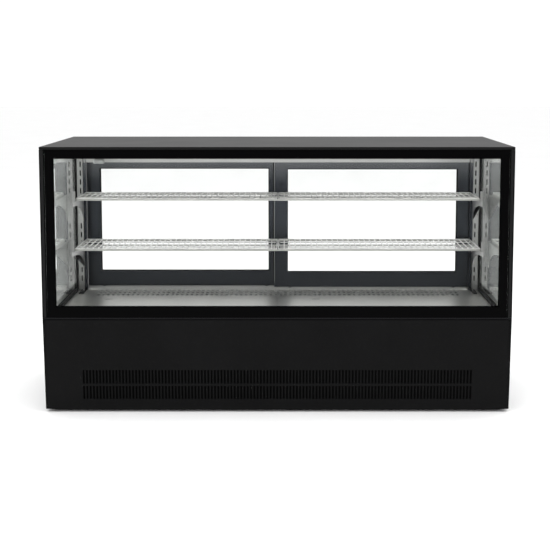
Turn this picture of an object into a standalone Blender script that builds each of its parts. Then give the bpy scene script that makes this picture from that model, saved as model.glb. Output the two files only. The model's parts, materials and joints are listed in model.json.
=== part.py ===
"""A refrigerated deli case: a low square glass case over a louvred machine compartment.

Metres, +Z up. The origin is the middle of the footprint at floor level. Customers stand on the -Y side,
and the sliding service doors are on the +Y side.
"""

import math

import bmesh
import bpy
from mathutils import Matrix, Vector

# Overall size
WIDTH = 1.800
DEPTH = 0.700
HEIGHT = 1.035
HALF_W = WIDTH / 2
FRONT_Y = -DEPTH / 2
BACK_Y = DEPTH / 2

# Shared by many pieces
GAP = 0.0003  # clearance between two pieces that touch
SHEET = 0.0017  # folded stainless sheet
GLASS = 0.020  # a sealed double-glazed unit
SIDES = {"left": -1, "right": 1}

# Levels, from the floor up
TRAY_Z = 0.005
PANEL_Z = 0.012
FRAME_TOP_Z = 0.2145
TUB_TOP_Z = 0.3645
DECK_Z = 0.3666
SHELL_TOP_Z = 0.3730
TRIM_TOP_Z = 0.3790
GLASS_Z = TRIM_TOP_Z + GAP
TOP_PANEL = 0.010
TOP_Z = HEIGHT - TOP_PANEL
UNDER_TOP = TOP_Z - GAP

# Lower shell
SIDE_PANEL = 0.0067
FRONT_PANEL = 0.003
FRONT_HALF = HALF_W - SIDE_PANEL - GAP
FRONT_PANEL_TOP = 0.3700
RAKE_TOP_Y = -0.3470
RAKE_FOOT_Y = -0.3220
REAR_PANEL_Y = 0.3348
REAR_PANEL = 0.003

# Louvres of the front panel
LOUVRE_PITCH = 0.0127
LOUVRE_COUNT = 119
LOUVRE_WIDTH = 0.0075
LOUVRE_ROWS = ((0.0514, 0.1062), (0.1139, 0.1704))
REAR_LOUVRE_PITCH = 0.025
REAR_LOUVRE_COUNT = 24
REAR_LOUVRE_WIDTH = 0.010
REAR_LOUVRE_X = -0.150
REAR_LOUVRE_Z = (0.060, 0.180)

# Insulated tub under the deck
TUB_HALF = 0.8925
TUB_Y = (-0.3295, REAR_PANEL_Y - GAP)
WELL_HALF = 0.845
WELL_Y = (-0.285, 0.268)
WELL_Z = 0.255
RIB = 0.020
RIB_Z = (0.340, 0.3562)

# Deck of removable pans and the rear air grille
DECK_HALF = 0.8722
PAN_Y = (-0.3147, 0.1127)
PAN_LIP = 0.010
FINGER_HOLE = (0.019, 0.007)
FINGER_HOLE_Y = 0.069
FINGER_HOLE_IN = 0.1585
GRILLE_Y = (0.1130, 0.2747)
GRILLE_PITCH = 0.0211
GRILLE_COUNT = 74
GRILLE_SLOT = (0.0095, 0.120)
GRILLE_SLOT_Y = 0.207
GASKET = 0.0072
GASKET_TOP = 0.380

# Service doors and the frame they slide in
DOOR_T = 0.025
DOOR_W = 0.857
DOOR_X = 0.4115
DOOR_Z = (0.3765, 0.960)
DOOR_Y = {"left": 0.3325, "right": 0.2975}
WINDOW_W = 0.744
WINDOW_Z = (0.4405, 0.8985)
DOOR_GLASS = 0.016
PULL = (0.018, 0.300, 0.011)
ROLLER_R = 0.010
ROLLER_T = 0.006
ROLLER_X = 0.360
RAIL_TOP = 0.3710
TRACK_HALF = 0.8422
TRACK_Y = 0.275
HEADER_Z = 0.927
WEB = 0.0025

# Rear posts and slotted pilasters
POST_X = (0.8340, 0.8425, 0.8722)
POST_Y = (0.2650, 0.2722)
PILASTER_X = (0.8465, 0.8720)
PILASTER_Y = (0.2547, 0.2647)
PILASTER_Z = (0.3680, 1.020)
SLOT_X = 0.856
SLOT = (0.0045, 0.0265)
SLOT_PITCH = 0.0384
SLOT_FIRST_Z = 0.421
SLOT_COUNT = 16

# Shelves: the upper face of the wires, and the front and back of the racks
SHELVES = {"upper": (0.8000, 0.020), "lower": (0.5965, -0.022)}
RACK_BACK_Y = 0.246
RACK_HALF = 0.8325
WIRE = 0.0045
WIRE_PITCH = 0.0230
BAR = (0.005, 0.0065)
BLADE_X = (0.8425, 0.8455)
BLADE_BACK_Y = 0.2542
LIP_IN_X = 0.8300
TIP_X = (0.8335, 0.8415)
TIP_HEIGHT = 0.0400
BLADE_DEEP = 0.115
BLADE_NOSE = 0.026

# Machine compartment and evaporator
FAN_BLADES = 6
CONDENSER_X = (-0.740, -0.440)
CONDENSER_Y = (-0.285, -0.247)
CONDENSER_FAN_R = 0.064
COMPRESSOR_AT = (-0.250, 0.060)
COMPRESSOR_R = 0.072
EVAPORATOR_FAN_R = 0.034
EVAPORATOR_FAN_X = 0.170
EVAPORATOR_FAN_Y = -0.075

# Controls in the rear panel
CONTROLS_X = (0.520, 0.700)
CONTROLS_Z = (0.120, 0.175)
CONTROLS_MID_Z = sum(CONTROLS_Z) / 2
CONTROLS_FACE_Y = 0.3420
KEY = (0.012, 0.008)
KEY_X = {"up": 0.585, "down": 0.603}
KEY_TRAVEL = 0.0008
ROCKER_X = 0.660
ROCKER_TILT = math.radians(10)
ROCKER_WELL = (0.0150, 0.024, 0.0235)
DISPLAY_X = 0.550
DISPLAY_RECESS = (0.034, 0.002, 0.018)
GLAND_AT = (-0.700, 0.090)
GLAND_HOLE_R = 0.0085

PARTS = bpy.data.collections.new("refrigerated_deli_case")
CUTTERS = bpy.data.collections.new("cutters")

# Colour, roughness and metallic value of each finish
FINISHES = {
    "black_steel": ((0.018, 0.018, 0.020, 1), 0.42, 0.0),
    "satin_black_top": ((0.030, 0.031, 0.033, 1), 0.35, 0.0),
    "stainless": ((0.55, 0.55, 0.54, 1), 0.32, 1.0),
    "aluminium": ((0.62, 0.62, 0.61, 1), 0.40, 1.0),
    "dark_aluminium": ((0.060, 0.062, 0.066, 1), 0.35, 0.6),
    "chrome_wire": ((0.70, 0.70, 0.70, 1), 0.18, 1.0),
    "glass": ((0.78, 0.84, 0.82, 1), 0.03, 0.0),
    "gasket_rubber": ((0.012, 0.012, 0.012, 1), 0.70, 0.0),
    "insulated_body": ((0.45, 0.46, 0.46, 1), 0.45, 0.0),
    "galvanised": ((0.42, 0.43, 0.44, 1), 0.50, 0.8),
    "compressor_black": ((0.015, 0.015, 0.016, 1), 0.35, 0.0),
    "fin_aluminium": ((0.60, 0.60, 0.58, 1), 0.45, 1.0),
    "copper": ((0.72, 0.36, 0.22, 1), 0.30, 1.0),
    "fan_plastic": ((0.030, 0.030, 0.032, 1), 0.50, 0.0),
    "control_plastic": ((0.020, 0.020, 0.022, 1), 0.40, 0.0),
    "key_grey": ((0.35, 0.36, 0.37, 1), 0.45, 0.0),
    "diffuser_white": ((0.90, 0.91, 0.90, 1), 0.40, 0.0),
    "probe_grey": ((0.50, 0.51, 0.51, 1), 0.40, 0.0),
}


def clear_scene():
    for thing in list(bpy.data.objects):
        bpy.data.objects.remove(thing, do_unlink=True)
    bpy.context.scene.collection.children.link(PARTS)
    bpy.context.scene.collection.children.link(CUTTERS)


def make_materials():
    """One Principled material for each finish."""
    for name, (colour, roughness, metallic) in FINISHES.items():
        material = bpy.data.materials.new(name)
        material.use_nodes = True
        shader = material.node_tree.nodes["Principled BSDF"]
        shader.inputs["Base Color"].default_value = colour
        shader.inputs["Roughness"].default_value = roughness
        shader.inputs["Metallic"].default_value = metallic
        material.diffuse_color = colour


def finish(made, name):
    made.data.materials.append(bpy.data.materials[name])
    return made


# Shapes


def object_of(name, mesh, location=(0, 0, 0)):
    made = bpy.data.objects.new(name, mesh)
    made.location = location
    PARTS.objects.link(made)
    return made


def mesh_of(name, bm):
    mesh = bpy.data.meshes.new(name)
    bm.to_mesh(mesh)
    bm.free()
    return mesh


def around(middle, size):
    """The span of a size about its middle."""
    return middle - size / 2, middle + size / 2


def box(name, x_span, y_span, z_span):
    """A box from its low and high X, Y and Z, with its origin in its middle."""
    low, high = (Vector(corner) for corner in zip(x_span, y_span, z_span))
    bm = bmesh.new()
    bmesh.ops.create_cube(bm, size=1)
    bmesh.ops.scale(bm, vec=high - low, verts=bm.verts)
    return object_of(name, mesh_of(name, bm), (low + high) / 2)


def boxes(name, centres, size):
    """Equal boxes that don't meet, as one cutter."""
    bm = bmesh.new()
    for centre in centres:
        place = Matrix.Translation(centre) @ Matrix.Diagonal((*size, 1))
        bmesh.ops.create_cube(bm, size=1, matrix=place)
    return object_of(name, mesh_of(name, bm))


def cylinder(name, centre, radius, length, axis="Z", segments=24):
    turn = {"X": Matrix.Rotation(math.pi / 2, 4, "Y"), "Y": Matrix.Rotation(-math.pi / 2, 4, "X")}
    bm = bmesh.new()
    bmesh.ops.create_cone(
        bm,
        cap_ends=True,
        segments=segments,
        radius1=radius,
        radius2=radius,
        depth=length,
        matrix=turn.get(axis, Matrix.Identity(4)),
    )
    made = object_of(name, mesh_of(name, bm), centre)
    made.data.shade_smooth()
    made.data.set_sharp_from_angle(angle=math.radians(40))
    return made


def turned(name, profile, location, steps=24):
    """A turned piece about its own Z axis, from (radius, height) points that run from the top down."""
    mesh = bpy.data.meshes.new(name)
    points = [(radius, 0, height) for radius, height in profile]
    mesh.from_pydata(points, [(i, i + 1) for i in range(len(points) - 1)], [])
    made = object_of(name, mesh, location)
    screw = made.modifiers.new("turn", "SCREW")
    screw.steps = steps
    screw.render_steps = steps
    screw.use_merge_vertices = True
    screw.merge_threshold = 0.00001
    return made


PLANES = {"XY": (0, 0, 0), "XZ": (math.pi / 2, 0, 0), "YZ": (math.pi / 2, 0, math.pi / 2)}


def extruded(name, outline, thickness, plane, location):
    """A flat outline in one of the main planes, thickened equally to both sides of it."""
    curve = bpy.data.curves.new(name, "CURVE")
    curve.dimensions = "2D"
    curve.fill_mode = "BOTH"
    curve.extrude = thickness / 2
    spline = curve.splines.new("POLY")
    spline.points.add(len(outline) - 1)
    for point, (x, y) in zip(spline.points, outline):
        point.co = (x, y, 0, 1)
    spline.use_cyclic_u = True
    made = bpy.data.objects.new(name, curve)
    made.location = location
    made.rotation_euler = PLANES[plane]
    PARTS.objects.link(made)
    return made


def as_mesh(curve_object):
    """The same piece as a closed mesh, which a Boolean can cut or join."""
    name = curve_object.name
    bpy.context.view_layer.update()
    evaluated = curve_object.evaluated_get(bpy.context.evaluated_depsgraph_get())
    mesh = bpy.data.meshes.new_from_object(evaluated)
    bm = bmesh.new()
    bm.from_mesh(mesh)
    bmesh.ops.remove_doubles(bm, verts=bm.verts, dist=0.00001)
    bm.to_mesh(mesh)
    bm.free()
    place = curve_object.matrix_world.copy()
    bpy.data.objects.remove(curve_object, do_unlink=True)
    made = object_of(name, mesh)
    made.matrix_world = place
    return made


def tube(name, points, radius):
    """A round pipe through the points."""
    curve = bpy.data.curves.new(name, "CURVE")
    curve.dimensions = "3D"
    curve.bevel_depth = radius
    curve.bevel_resolution = 2
    curve.use_fill_caps = True
    spline = curve.splines.new("POLY")
    spline.points.add(len(points) - 1)
    for point, place in zip(spline.points, points):
        point.co = (*place, 1)
    made = bpy.data.objects.new(name, curve)
    PARTS.objects.link(made)
    return made


def open_box(name, x_span, y_span, z_span, wall, chamfer=0.0):
    """A pan or tub, open at the top, whose walls lie inside the spans."""
    low, high = (Vector(corner) for corner in zip(x_span, y_span, z_span))
    bm = bmesh.new()
    bmesh.ops.create_cube(bm, size=1)
    bmesh.ops.scale(bm, vec=high - low, verts=bm.verts)
    top = max(bm.faces, key=lambda face: face.calc_center_median().z)
    bmesh.ops.delete(bm, geom=[top], context="FACES_ONLY")
    if chamfer:
        foot = [edge for edge in bm.edges if all(v.co.z < 0 for v in edge.verts)]
        bmesh.ops.bevel(bm, geom=foot, offset=chamfer, segments=1, affect="EDGES")
    made = object_of(name, mesh_of(name, bm), (low + high) / 2)
    solidify = made.modifiers.new("wall", "SOLIDIFY")
    solidify.thickness = wall
    solidify.offset = -1
    solidify.use_even_offset = True
    return made


def combine(target, tool, operation):
    """Cuts the tool out of the target, or joins it on."""
    modifier = target.modifiers.new(tool.name, "BOOLEAN")
    modifier.operation = operation
    modifier.object = tool
    tool.name = f"{target.name}_{operation.lower()}_{len(target.modifiers)}"
    tool.hide_render = True
    tool.display_type = "WIRE"
    PARTS.objects.unlink(tool)
    CUTTERS.objects.link(tool)


def cut(target, *tools):
    for tool in tools:
        combine(target, tool, "DIFFERENCE")
    return target


def join(target, *tools):
    for tool in tools:
        combine(target, tool, "UNION")
    return target


def mirrored(side, inner, outer):
    """The low and high X of a span on one side of the case."""
    return sorted((SIDES[side] * inner, SIDES[side] * outer))


# Lower body


def make_base_frame():
    """Drip tray, welded to the tube frame that carries the tub."""
    frame = open_box(
        "base_frame",
        (-0.876, 0.876),
        (-0.316, 0.334),
        (TRAY_Z, 0.045),
        0.002,
        chamfer=0.010,
    )
    tube_size = 0.025
    corner_x = 0.8615
    ends_y = (-0.300, 0.318)
    for x in (-corner_x, 0, corner_x):
        for y in ends_y:
            post = box(
                "post",
                around(x, tube_size),
                around(y, tube_size),
                (TRAY_Z + 0.012, FRAME_TOP_Z - 0.010),
            )
            join(frame, post)
    for y in ends_y:
        rail = box(
            "rail",
            (-corner_x - tube_size / 2, corner_x + tube_size / 2),
            around(y, tube_size),
            (FRAME_TOP_Z - 0.020, FRAME_TOP_Z),
        )
        join(frame, rail)
    for x in (-corner_x, 0, corner_x):
        rail = box(
            "cross_rail",
            around(x, tube_size),
            ends_y,
            (FRAME_TOP_Z - 0.019, FRAME_TOP_Z - 0.001),
        )
        join(frame, rail)
    for x, y in foot_places().values():
        cut(frame, cylinder("foot_hole", (x, y, TRAY_Z), 0.0075, 0.010, segments=12))
    return finish(frame, "galvanised")


def foot_places():
    places = {}
    for end, y in (("front", -0.250), ("rear", 0.265)):
        for side, sign in SIDES.items():
            places[f"{end}_{side}"] = (sign * 0.800, y)
    return places


def make_levelling_feet():
    pad = TRAY_Z - GAP
    stem = 0.0055
    top = 0.050
    profile = [(0, top), (stem, top), (stem, pad), (0.020, pad), (0.022, 0.001), (0.021, 0), (0, 0)]
    for place, (x, y) in foot_places().items():
        finish(turned(f"levelling_foot_{place}", profile, (x, y, 0), steps=20), "galvanised")


def rake_y(z):
    """The raked front plane of the lower shell at a height."""
    share = (z - PANEL_Z) / (FRONT_PANEL_TOP - PANEL_Z)
    return RAKE_FOOT_Y + share * (RAKE_TOP_Y - RAKE_FOOT_Y)


def row_of(count, pitch, middle=0.0):
    """Evenly spaced places about a middle."""
    return [middle + (i - (count - 1) / 2) * pitch for i in range(count)]


def make_front_panel():
    """Raked sheet between the side panels, with two rows of upright louvres."""
    outer = [
        (rake_y(PANEL_Z), PANEL_Z),
        (rake_y(PANEL_Z) + FRONT_PANEL, PANEL_Z),
        (rake_y(FRONT_PANEL_TOP) + FRONT_PANEL, FRONT_PANEL_TOP),
        (rake_y(FRONT_PANEL_TOP), FRONT_PANEL_TOP),
    ]
    panel = as_mesh(extruded("front_panel", outer, 2 * FRONT_HALF, "YZ", (0, 0, 0)))
    for low, high in LOUVRE_ROWS:
        middle = (low + high) / 2
        centres = [(x, rake_y(middle), middle) for x in row_of(LOUVRE_COUNT, LOUVRE_PITCH)]
        size = (LOUVRE_WIDTH, 4 * FRONT_PANEL + abs(rake_y(high) - rake_y(low)), high - low)
        cut(panel, boxes("louvres", centres, size))
    return finish(panel, "black_steel")


def make_side_panels():
    for side in SIDES:
        outline = [
            (rake_y(PANEL_Z), PANEL_Z),
            (BACK_Y, PANEL_Z),
            (BACK_Y, SHELL_TOP_Z),
            (FRONT_Y, SHELL_TOP_Z),
            (FRONT_Y, FRONT_PANEL_TOP),
        ]
        x = SIDES[side] * (HALF_W - SIDE_PANEL / 2)
        finish(extruded(f"side_panel_{side}", outline, SIDE_PANEL, "YZ", (x, 0, 0)), "black_steel")


def make_rear_panel():
    """Service panel with a row of louvres, a cut-out for the controls and a hole for the cable gland."""
    panel = box(
        "rear_panel",
        (-FRONT_HALF, FRONT_HALF),
        (REAR_PANEL_Y, REAR_PANEL_Y + REAR_PANEL),
        (PANEL_Z, 0.3635),
    )
    low, high = REAR_LOUVRE_Z
    places = row_of(REAR_LOUVRE_COUNT, REAR_LOUVRE_PITCH, REAR_LOUVRE_X)
    centres = [(x, REAR_PANEL_Y, (low + high) / 2) for x in places]
    cut(panel, boxes("rear_louvres", centres, (REAR_LOUVRE_WIDTH, 0.020, high - low)))
    inset = 0.004
    window = box(
        "controls_window",
        (CONTROLS_X[0] + inset - 0.001, CONTROLS_X[1] - inset + 0.001),
        (REAR_PANEL_Y - 0.01, REAR_PANEL_Y + 0.01),
        (CONTROLS_Z[0] + inset - 0.001, CONTROLS_Z[1] - inset + 0.001),
    )
    gland_x, gland_z = GLAND_AT
    gland_hole = cylinder("gland_hole", (gland_x, REAR_PANEL_Y, gland_z), GLAND_HOLE_R, 0.02, "Y")
    cut(panel, window, gland_hole)
    return finish(panel, "black_steel")


def make_insulated_tub():
    """Foamed body with the evaporator well in it, and ribs that carry the edges of the deck pans."""
    tub = box(
        "insulated_tub",
        (-TUB_HALF, TUB_HALF),
        (TUB_Y[0], TUB_Y[1]),
        (FRAME_TOP_Z + GAP, TUB_TOP_Z),
    )
    cut(tub, box(
        "well",
        (-WELL_HALF, WELL_HALF),
        WELL_Y,
        (WELL_Z, TUB_TOP_Z + 0.01),
    ))
    seam_y = PAN_Y[1]
    join(
        tub,
        box(
            "long_rib",
            (-WELL_HALF - 0.01, WELL_HALF + 0.01),
            around(seam_y, RIB),
            (RIB_Z[0], RIB_Z[1]),
        ),
        box(
            "short_rib",
            (-RIB / 2, RIB / 2),
            (WELL_Y[0] - 0.01, seam_y),
            (RIB_Z[0] + 0.001, RIB_Z[1] - 0.001),
        ),
    )
    return finish(tub, "insulated_body")


def make_base_trim():
    """Flat trim, open at the back, that the glass stands on."""
    inner_x = HALF_W - GLASS
    inner_y = FRONT_Y + GLASS
    outline = [
        (-HALF_W, BACK_Y),
        (-HALF_W, FRONT_Y),
        (HALF_W, FRONT_Y),
        (HALF_W, BACK_Y),
        (inner_x, BACK_Y),
        (inner_x, inner_y),
        (-inner_x, inner_y),
        (-inner_x, BACK_Y),
    ]
    low = SHELL_TOP_Z + GAP
    trim = extruded("base_trim", outline, TRIM_TOP_Z - low, "XY", (0, 0, (low + TRIM_TOP_Z) / 2))
    return finish(trim, "dark_aluminium")


# Glass body


def make_top_panel():
    top = box("top_panel", (-HALF_W, HALF_W), (FRONT_Y, BACK_Y), (TOP_Z, HEIGHT))
    edge = top.modifiers.new("eased_edge", "BEVEL")
    edge.width = 0.0012
    edge.segments = 1
    return finish(top, "satin_black_top")


def make_glass():
    inner_x = HALF_W - GLASS
    front = box(
        "front_glass",
        (-inner_x, inner_x),
        (FRONT_Y, FRONT_Y + GLASS - GAP),
        (GLASS_Z, UNDER_TOP),
    )
    finish(front, "glass")
    for side in SIDES:
        low_x, high_x = mirrored(side, inner_x + GAP, HALF_W)
        finish(box(
            f"side_glass_{side}",
            (low_x, high_x),
            (FRONT_Y, BACK_Y),
            (GLASS_Z, UNDER_TOP),
        ), "glass")


def make_glass_gasket():
    """Rubber profile round three sides of the deck, with an upright seal from each post to its glass."""
    outer_x = DECK_HALF + GAP + GASKET
    outer_y = FRONT_Y + GLASS + GAP
    inner_y = PAN_Y[0] - GAP
    end_y = PILASTER_Y[0] - GAP
    inner_x = DECK_HALF + GAP
    outline = [
        (-outer_x, end_y),
        (-outer_x, outer_y),
        (outer_x, outer_y),
        (outer_x, end_y),
        (inner_x, end_y),
        (inner_x, inner_y),
        (-inner_x, inner_y),
        (-inner_x, end_y),
    ]
    low = TUB_TOP_Z + GAP
    place = (0, 0, (low + GASKET_TOP) / 2)
    gasket = as_mesh(extruded("glass_gasket", outline, GASKET_TOP - low, "XY", place))
    for side in SIDES:
        low_x, high_x = mirrored(side, POST_X[2] + GAP, outer_x)
        join(gasket, box("upright_seal", (low_x, high_x), (0.245, 0.346), (0.370, UNDER_TOP)))
    return finish(gasket, "gasket_rubber")


def make_rear_posts():
    inner, body, outer = POST_X
    for side, sign in SIDES.items():
        outline = [
            (sign * inner, POST_Y[0]),
            (sign * outer, POST_Y[0]),
            (sign * outer, BACK_Y),
            (sign * body, BACK_Y),
            (sign * body, POST_Y[1]),
            (sign * inner, POST_Y[1]),
        ]
        low = TUB_TOP_Z + GAP
        place = (0, 0, (low + UNDER_TOP) / 2)
        post = extruded(f"rear_post_{side}", outline, UNDER_TOP - low, "XY", place)
        finish(post, "stainless")


def make_rear_header():
    """Three downward walls under one web, which make the two upper door channels."""
    middle = sum(DOOR_Y.values()) / 2
    half = 0.0008
    under = UNDER_TOP - 0.003
    outline = [
        (TRACK_Y - WEB, HEADER_Z),
        (TRACK_Y, HEADER_Z),
        (TRACK_Y, under),
        (middle - half, under),
        (middle - half, HEADER_Z),
        (middle + half, HEADER_Z),
        (middle + half, under),
        (BACK_Y - WEB, under),
        (BACK_Y - WEB, HEADER_Z),
        (BACK_Y, HEADER_Z),
        (BACK_Y, UNDER_TOP),
        (TRACK_Y - WEB, UNDER_TOP),
    ]
    header = extruded("rear_header", outline, 2 * TRACK_HALF, "YZ", (0, 0, 0))
    return finish(header, "stainless")


def make_door_sill_track():
    """Sill with a rail for the rollers of each door and a lip on either side."""
    floor = 0.3675
    lip = 0.3735
    middle = sum(DOOR_Y.values()) / 2
    low = TUB_TOP_Z + GAP
    ribs = [
        (TRACK_Y + GAP, TRACK_Y + 0.002, lip),
        (DOOR_Y["right"] - 0.001, DOOR_Y["right"] + 0.001, RAIL_TOP),
        (middle - 0.0008, middle + 0.0008, lip),
        (DOOR_Y["left"] - 0.001, DOOR_Y["left"] + 0.001, RAIL_TOP),
        (BACK_Y - 0.002, BACK_Y, lip),
    ]
    outline = [(ribs[0][0], low)]
    for start, end, top in ribs:
        outline += [(start, floor), (start, top), (end, top), (end, floor)]
    outline = [outline[0], *outline[2:-1], (BACK_Y, low)]
    track = extruded("door_sill_track", outline, 2 * TRACK_HALF, "YZ", (0, 0, 0))
    return finish(track, "aluminium")


# Sliding doors


def make_doors():
    for side, sign in SIDES.items():
        x = sign * DOOR_X
        y = DOOR_Y[side]
        frame = box(
            f"{side}_door_frame",
            around(x, DOOR_W),
            around(y, DOOR_T),
            (DOOR_Z[0], DOOR_Z[1]),
        )
        cut(frame, box(
            "window",
            around(x, WINDOW_W),
            (y - DOOR_T, y + DOOR_T),
            (WINDOW_Z[0], WINDOW_Z[1]),
        ))
        pull_x = sign * (DOOR_X + WINDOW_W / 2 + (DOOR_W - WINDOW_W) / 4)
        pull_z = sum(WINDOW_Z) / 2
        width, length, depth = PULL
        rear = y + DOOR_T / 2
        cut(frame, boxes("finger_pull", [(pull_x, rear, pull_z)], (width, 2 * depth, length)))
        roller_z = RAIL_TOP + GAP + ROLLER_R
        for end, shift in (("inner", -sign), ("outer", sign)):
            roller_x = x + shift * ROLLER_X
            pocket_depth = roller_z + ROLLER_R + 0.001 - DOOR_Z[0]
            pocket = (2 * ROLLER_R + 0.003, ROLLER_T + 0.001, 2 * pocket_depth)
            cut(frame, boxes("roller_pocket", [(roller_x, y, DOOR_Z[0])], pocket))
            name = f"{side}_door_roller_{end}"
            roller = cylinder(name, (roller_x, y, roller_z), ROLLER_R, ROLLER_T, "Y", segments=20)
            finish(roller, "fan_plastic")
        finish(frame, "dark_aluminium")
        half = WINDOW_W / 2 - GAP
        pane = box(
            f"{side}_door_glass",
            (x - half, x + half),
            around(y, DOOR_GLASS),
            (WINDOW_Z[0] + GAP, WINDOW_Z[1] - GAP),
        )
        finish(pane, "glass")


# Shelving


def slot_heights():
    return [SLOT_FIRST_Z + i * SLOT_PITCH for i in range(SLOT_COUNT)]


def make_pilasters():
    """Slotted channels, open at the back, which the shelf brackets hook into."""
    wall = 0.0015
    for side, sign in SIDES.items():
        low_x, high_x = mirrored(side, *PILASTER_X)
        pilaster = box(
            f"pilaster_{side}",
            (low_x, high_x),
            PILASTER_Y,
            PILASTER_Z,
        )
        channel = box(
            "channel",
            (low_x + wall, high_x - wall),
            (PILASTER_Y[0] + wall, PILASTER_Y[1] + 0.01),
            (PILASTER_Z[0] - 0.01, PILASTER_Z[1] + 0.01),
        )
        centres = [(sign * SLOT_X, PILASTER_Y[0], z) for z in slot_heights()]
        cut(pilaster, channel, boxes("slots", centres, (SLOT[0], 4 * wall, SLOT[1])))
        finish(pilaster, "stainless")


def bracket_outline(front_y, lip_z):
    """Side view of a bracket blade: deep at the post, with a hollow curve underneath to a slim front."""
    back = BLADE_BACK_Y
    outline = [(front_y, lip_z - BLADE_NOSE), (front_y, lip_z), (back, lip_z), (back, lip_z - BLADE_DEEP)]
    steps = 8
    start_y = front_y + 0.020
    for i in range(steps + 1):
        angle = math.pi / 2 * i / steps
        y = start_y + (back - 0.012 - start_y) * math.cos(angle)
        z = lip_z - BLADE_DEEP + (BLADE_DEEP - BLADE_NOSE) * math.sin(angle)
        outline.append((y, z))
    return outline


def make_bracket(level, side):
    """Blade, inward lip that the shelf frame lies on, upturned front tip, back plate and two hooks."""
    sign = SIDES[side]
    top_z, front_y = SHELVES[level]
    lip_z = top_z - 2 * GAP - WIRE - BAR[1]
    blade_front = front_y - 0.012
    blade_t = BLADE_X[1] - BLADE_X[0]
    place = (sign * sum(BLADE_X) / 2, 0, 0)
    bracket = as_mesh(
        extruded(f"bracket_{level}_{side}", bracket_outline(blade_front, lip_z), blade_t, "YZ", place)
    )
    lip_x = mirrored(side, LIP_IN_X, BLADE_X[1] - 0.001)
    tip_x = mirrored(side, TIP_X[0], BLADE_X[1] - 0.0005)
    plate_x = mirrored(side, BLADE_X[0] + 0.0005, SLOT_X + 0.0045)
    lip = box(
        "lip",
        lip_x,
        (blade_front + 0.0005, 0.240),
        (lip_z - 0.0025, lip_z - 0.0005),
    )
    tip = box(
        "tip",
        tip_x,
        (blade_front + 0.001, blade_front + 0.003),
        (lip_z - 0.002, lip_z + TIP_HEIGHT),
    )
    plate_low = lip_z - BLADE_DEEP + 0.0005
    plate = box(
        "plate",
        plate_x,
        (BLADE_BACK_Y - 0.003, BLADE_BACK_Y - 0.0002),
        (plate_low, lip_z - 0.001),
    )
    join(bracket, lip, tip, plate)
    near = [z for z in slot_heights() if plate_low + 0.010 < z < lip_z - 0.012]
    for z in (near[0], near[-1]):
        hook_x = (sign * SLOT_X - 0.0013, sign * SLOT_X + 0.0013)
        hook = box(
            "hook",
            hook_x,
            (BLADE_BACK_Y - 0.002, PILASTER_Y[0] + 0.007),
            (z - 0.0085, z + 0.0085),
        )
        join(bracket, hook)
    return finish(bracket, "stainless")


def make_shelf_frame(level):
    """Three long bars and two end bars, which carry the wire racks between the brackets."""
    top_z, front_y = SHELVES[level]
    high = top_z - GAP - WIRE
    low = high - BAR[1]
    width = BAR[0]
    frame = box(
        f"shelf_frame_{level}",
        (-RACK_HALF - 0.001, RACK_HALF + 0.001),
        (front_y, RACK_BACK_Y),
        (low, high),
    )
    middle = (front_y + RACK_BACK_Y) / 2
    for start, end in ((front_y + width, middle - width / 2), (middle + width / 2, RACK_BACK_Y - width)):
        opening = box(
            "opening",
            (-RACK_HALF + width, RACK_HALF - width),
            (start, end),
            (low - 0.01, high + 0.01),
        )
        cut(frame, opening)
    return finish(frame, "stainless")


def make_wire_rack(level, side):
    """One half of a shelf: wires from front to back, joined at both ends."""
    top_z, front_y = SHELVES[level]
    inner = 0.0012
    low_x, high_x = mirrored(side, inner, RACK_HALF)
    rack = box(
        f"wire_rack_{level}_{side}",
        (low_x, high_x),
        (front_y, RACK_BACK_Y),
        (top_z - WIRE, top_z),
    )
    count = round((high_x - low_x - WIRE) / WIRE_PITCH)
    pitch = (high_x - low_x - WIRE) / count
    middle = (front_y + RACK_BACK_Y) / 2
    depth = RACK_BACK_Y - front_y - 2 * WIRE
    centres = [(low_x + WIRE / 2 + pitch * (i + 0.5), middle, top_z - WIRE / 2) for i in range(count)]
    cut(rack, boxes("gaps", centres, (pitch - WIRE, depth, 3 * WIRE)))
    return finish(rack, "chrome_wire")


def make_shelving():
    make_pilasters()
    for level in SHELVES:
        make_shelf_frame(level)
        for side in SIDES:
            make_bracket(level, side)
            make_wire_rack(level, side)


# Deck


def make_deck_pans():
    """Stainless pans, each with two turned-down lips and a finger hole to lift it by."""
    for side, sign in SIDES.items():
        seam = 0.0004
        low_x, high_x = mirrored(side, seam, DECK_HALF)
        pan = box(
            f"deck_pan_{side}",
            (low_x, high_x),
            PAN_Y,
            (DECK_Z - SHEET, DECK_Z),
        )
        lip_x = mirrored(side, seam, seam + SHEET)
        lip_low = DECK_Z - PAN_LIP + 0.0001
        back_x = mirrored(side, seam, WELL_HALF - 0.002)
        join(
            pan,
            box(
                "back_lip",
                back_x,
                (PAN_Y[1] - SHEET, PAN_Y[1]),
                (lip_low, DECK_Z - 0.0005),
            ),
            box(
                "seam_lip",
                lip_x,
                (WELL_Y[0] + 0.002, PAN_Y[1] - 0.0005),
                (lip_low, DECK_Z - 0.0005),
            ),
        )
        hole_at = (low_x + FINGER_HOLE_IN, FINGER_HOLE_Y, DECK_Z)
        hole = cylinder("finger_hole", hole_at, 1, 0.01, segments=16)
        hole.data.transform(Matrix.Diagonal((*FINGER_HOLE, 1, 1)))
        cut(pan, hole)
        finish(pan, "stainless")


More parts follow.
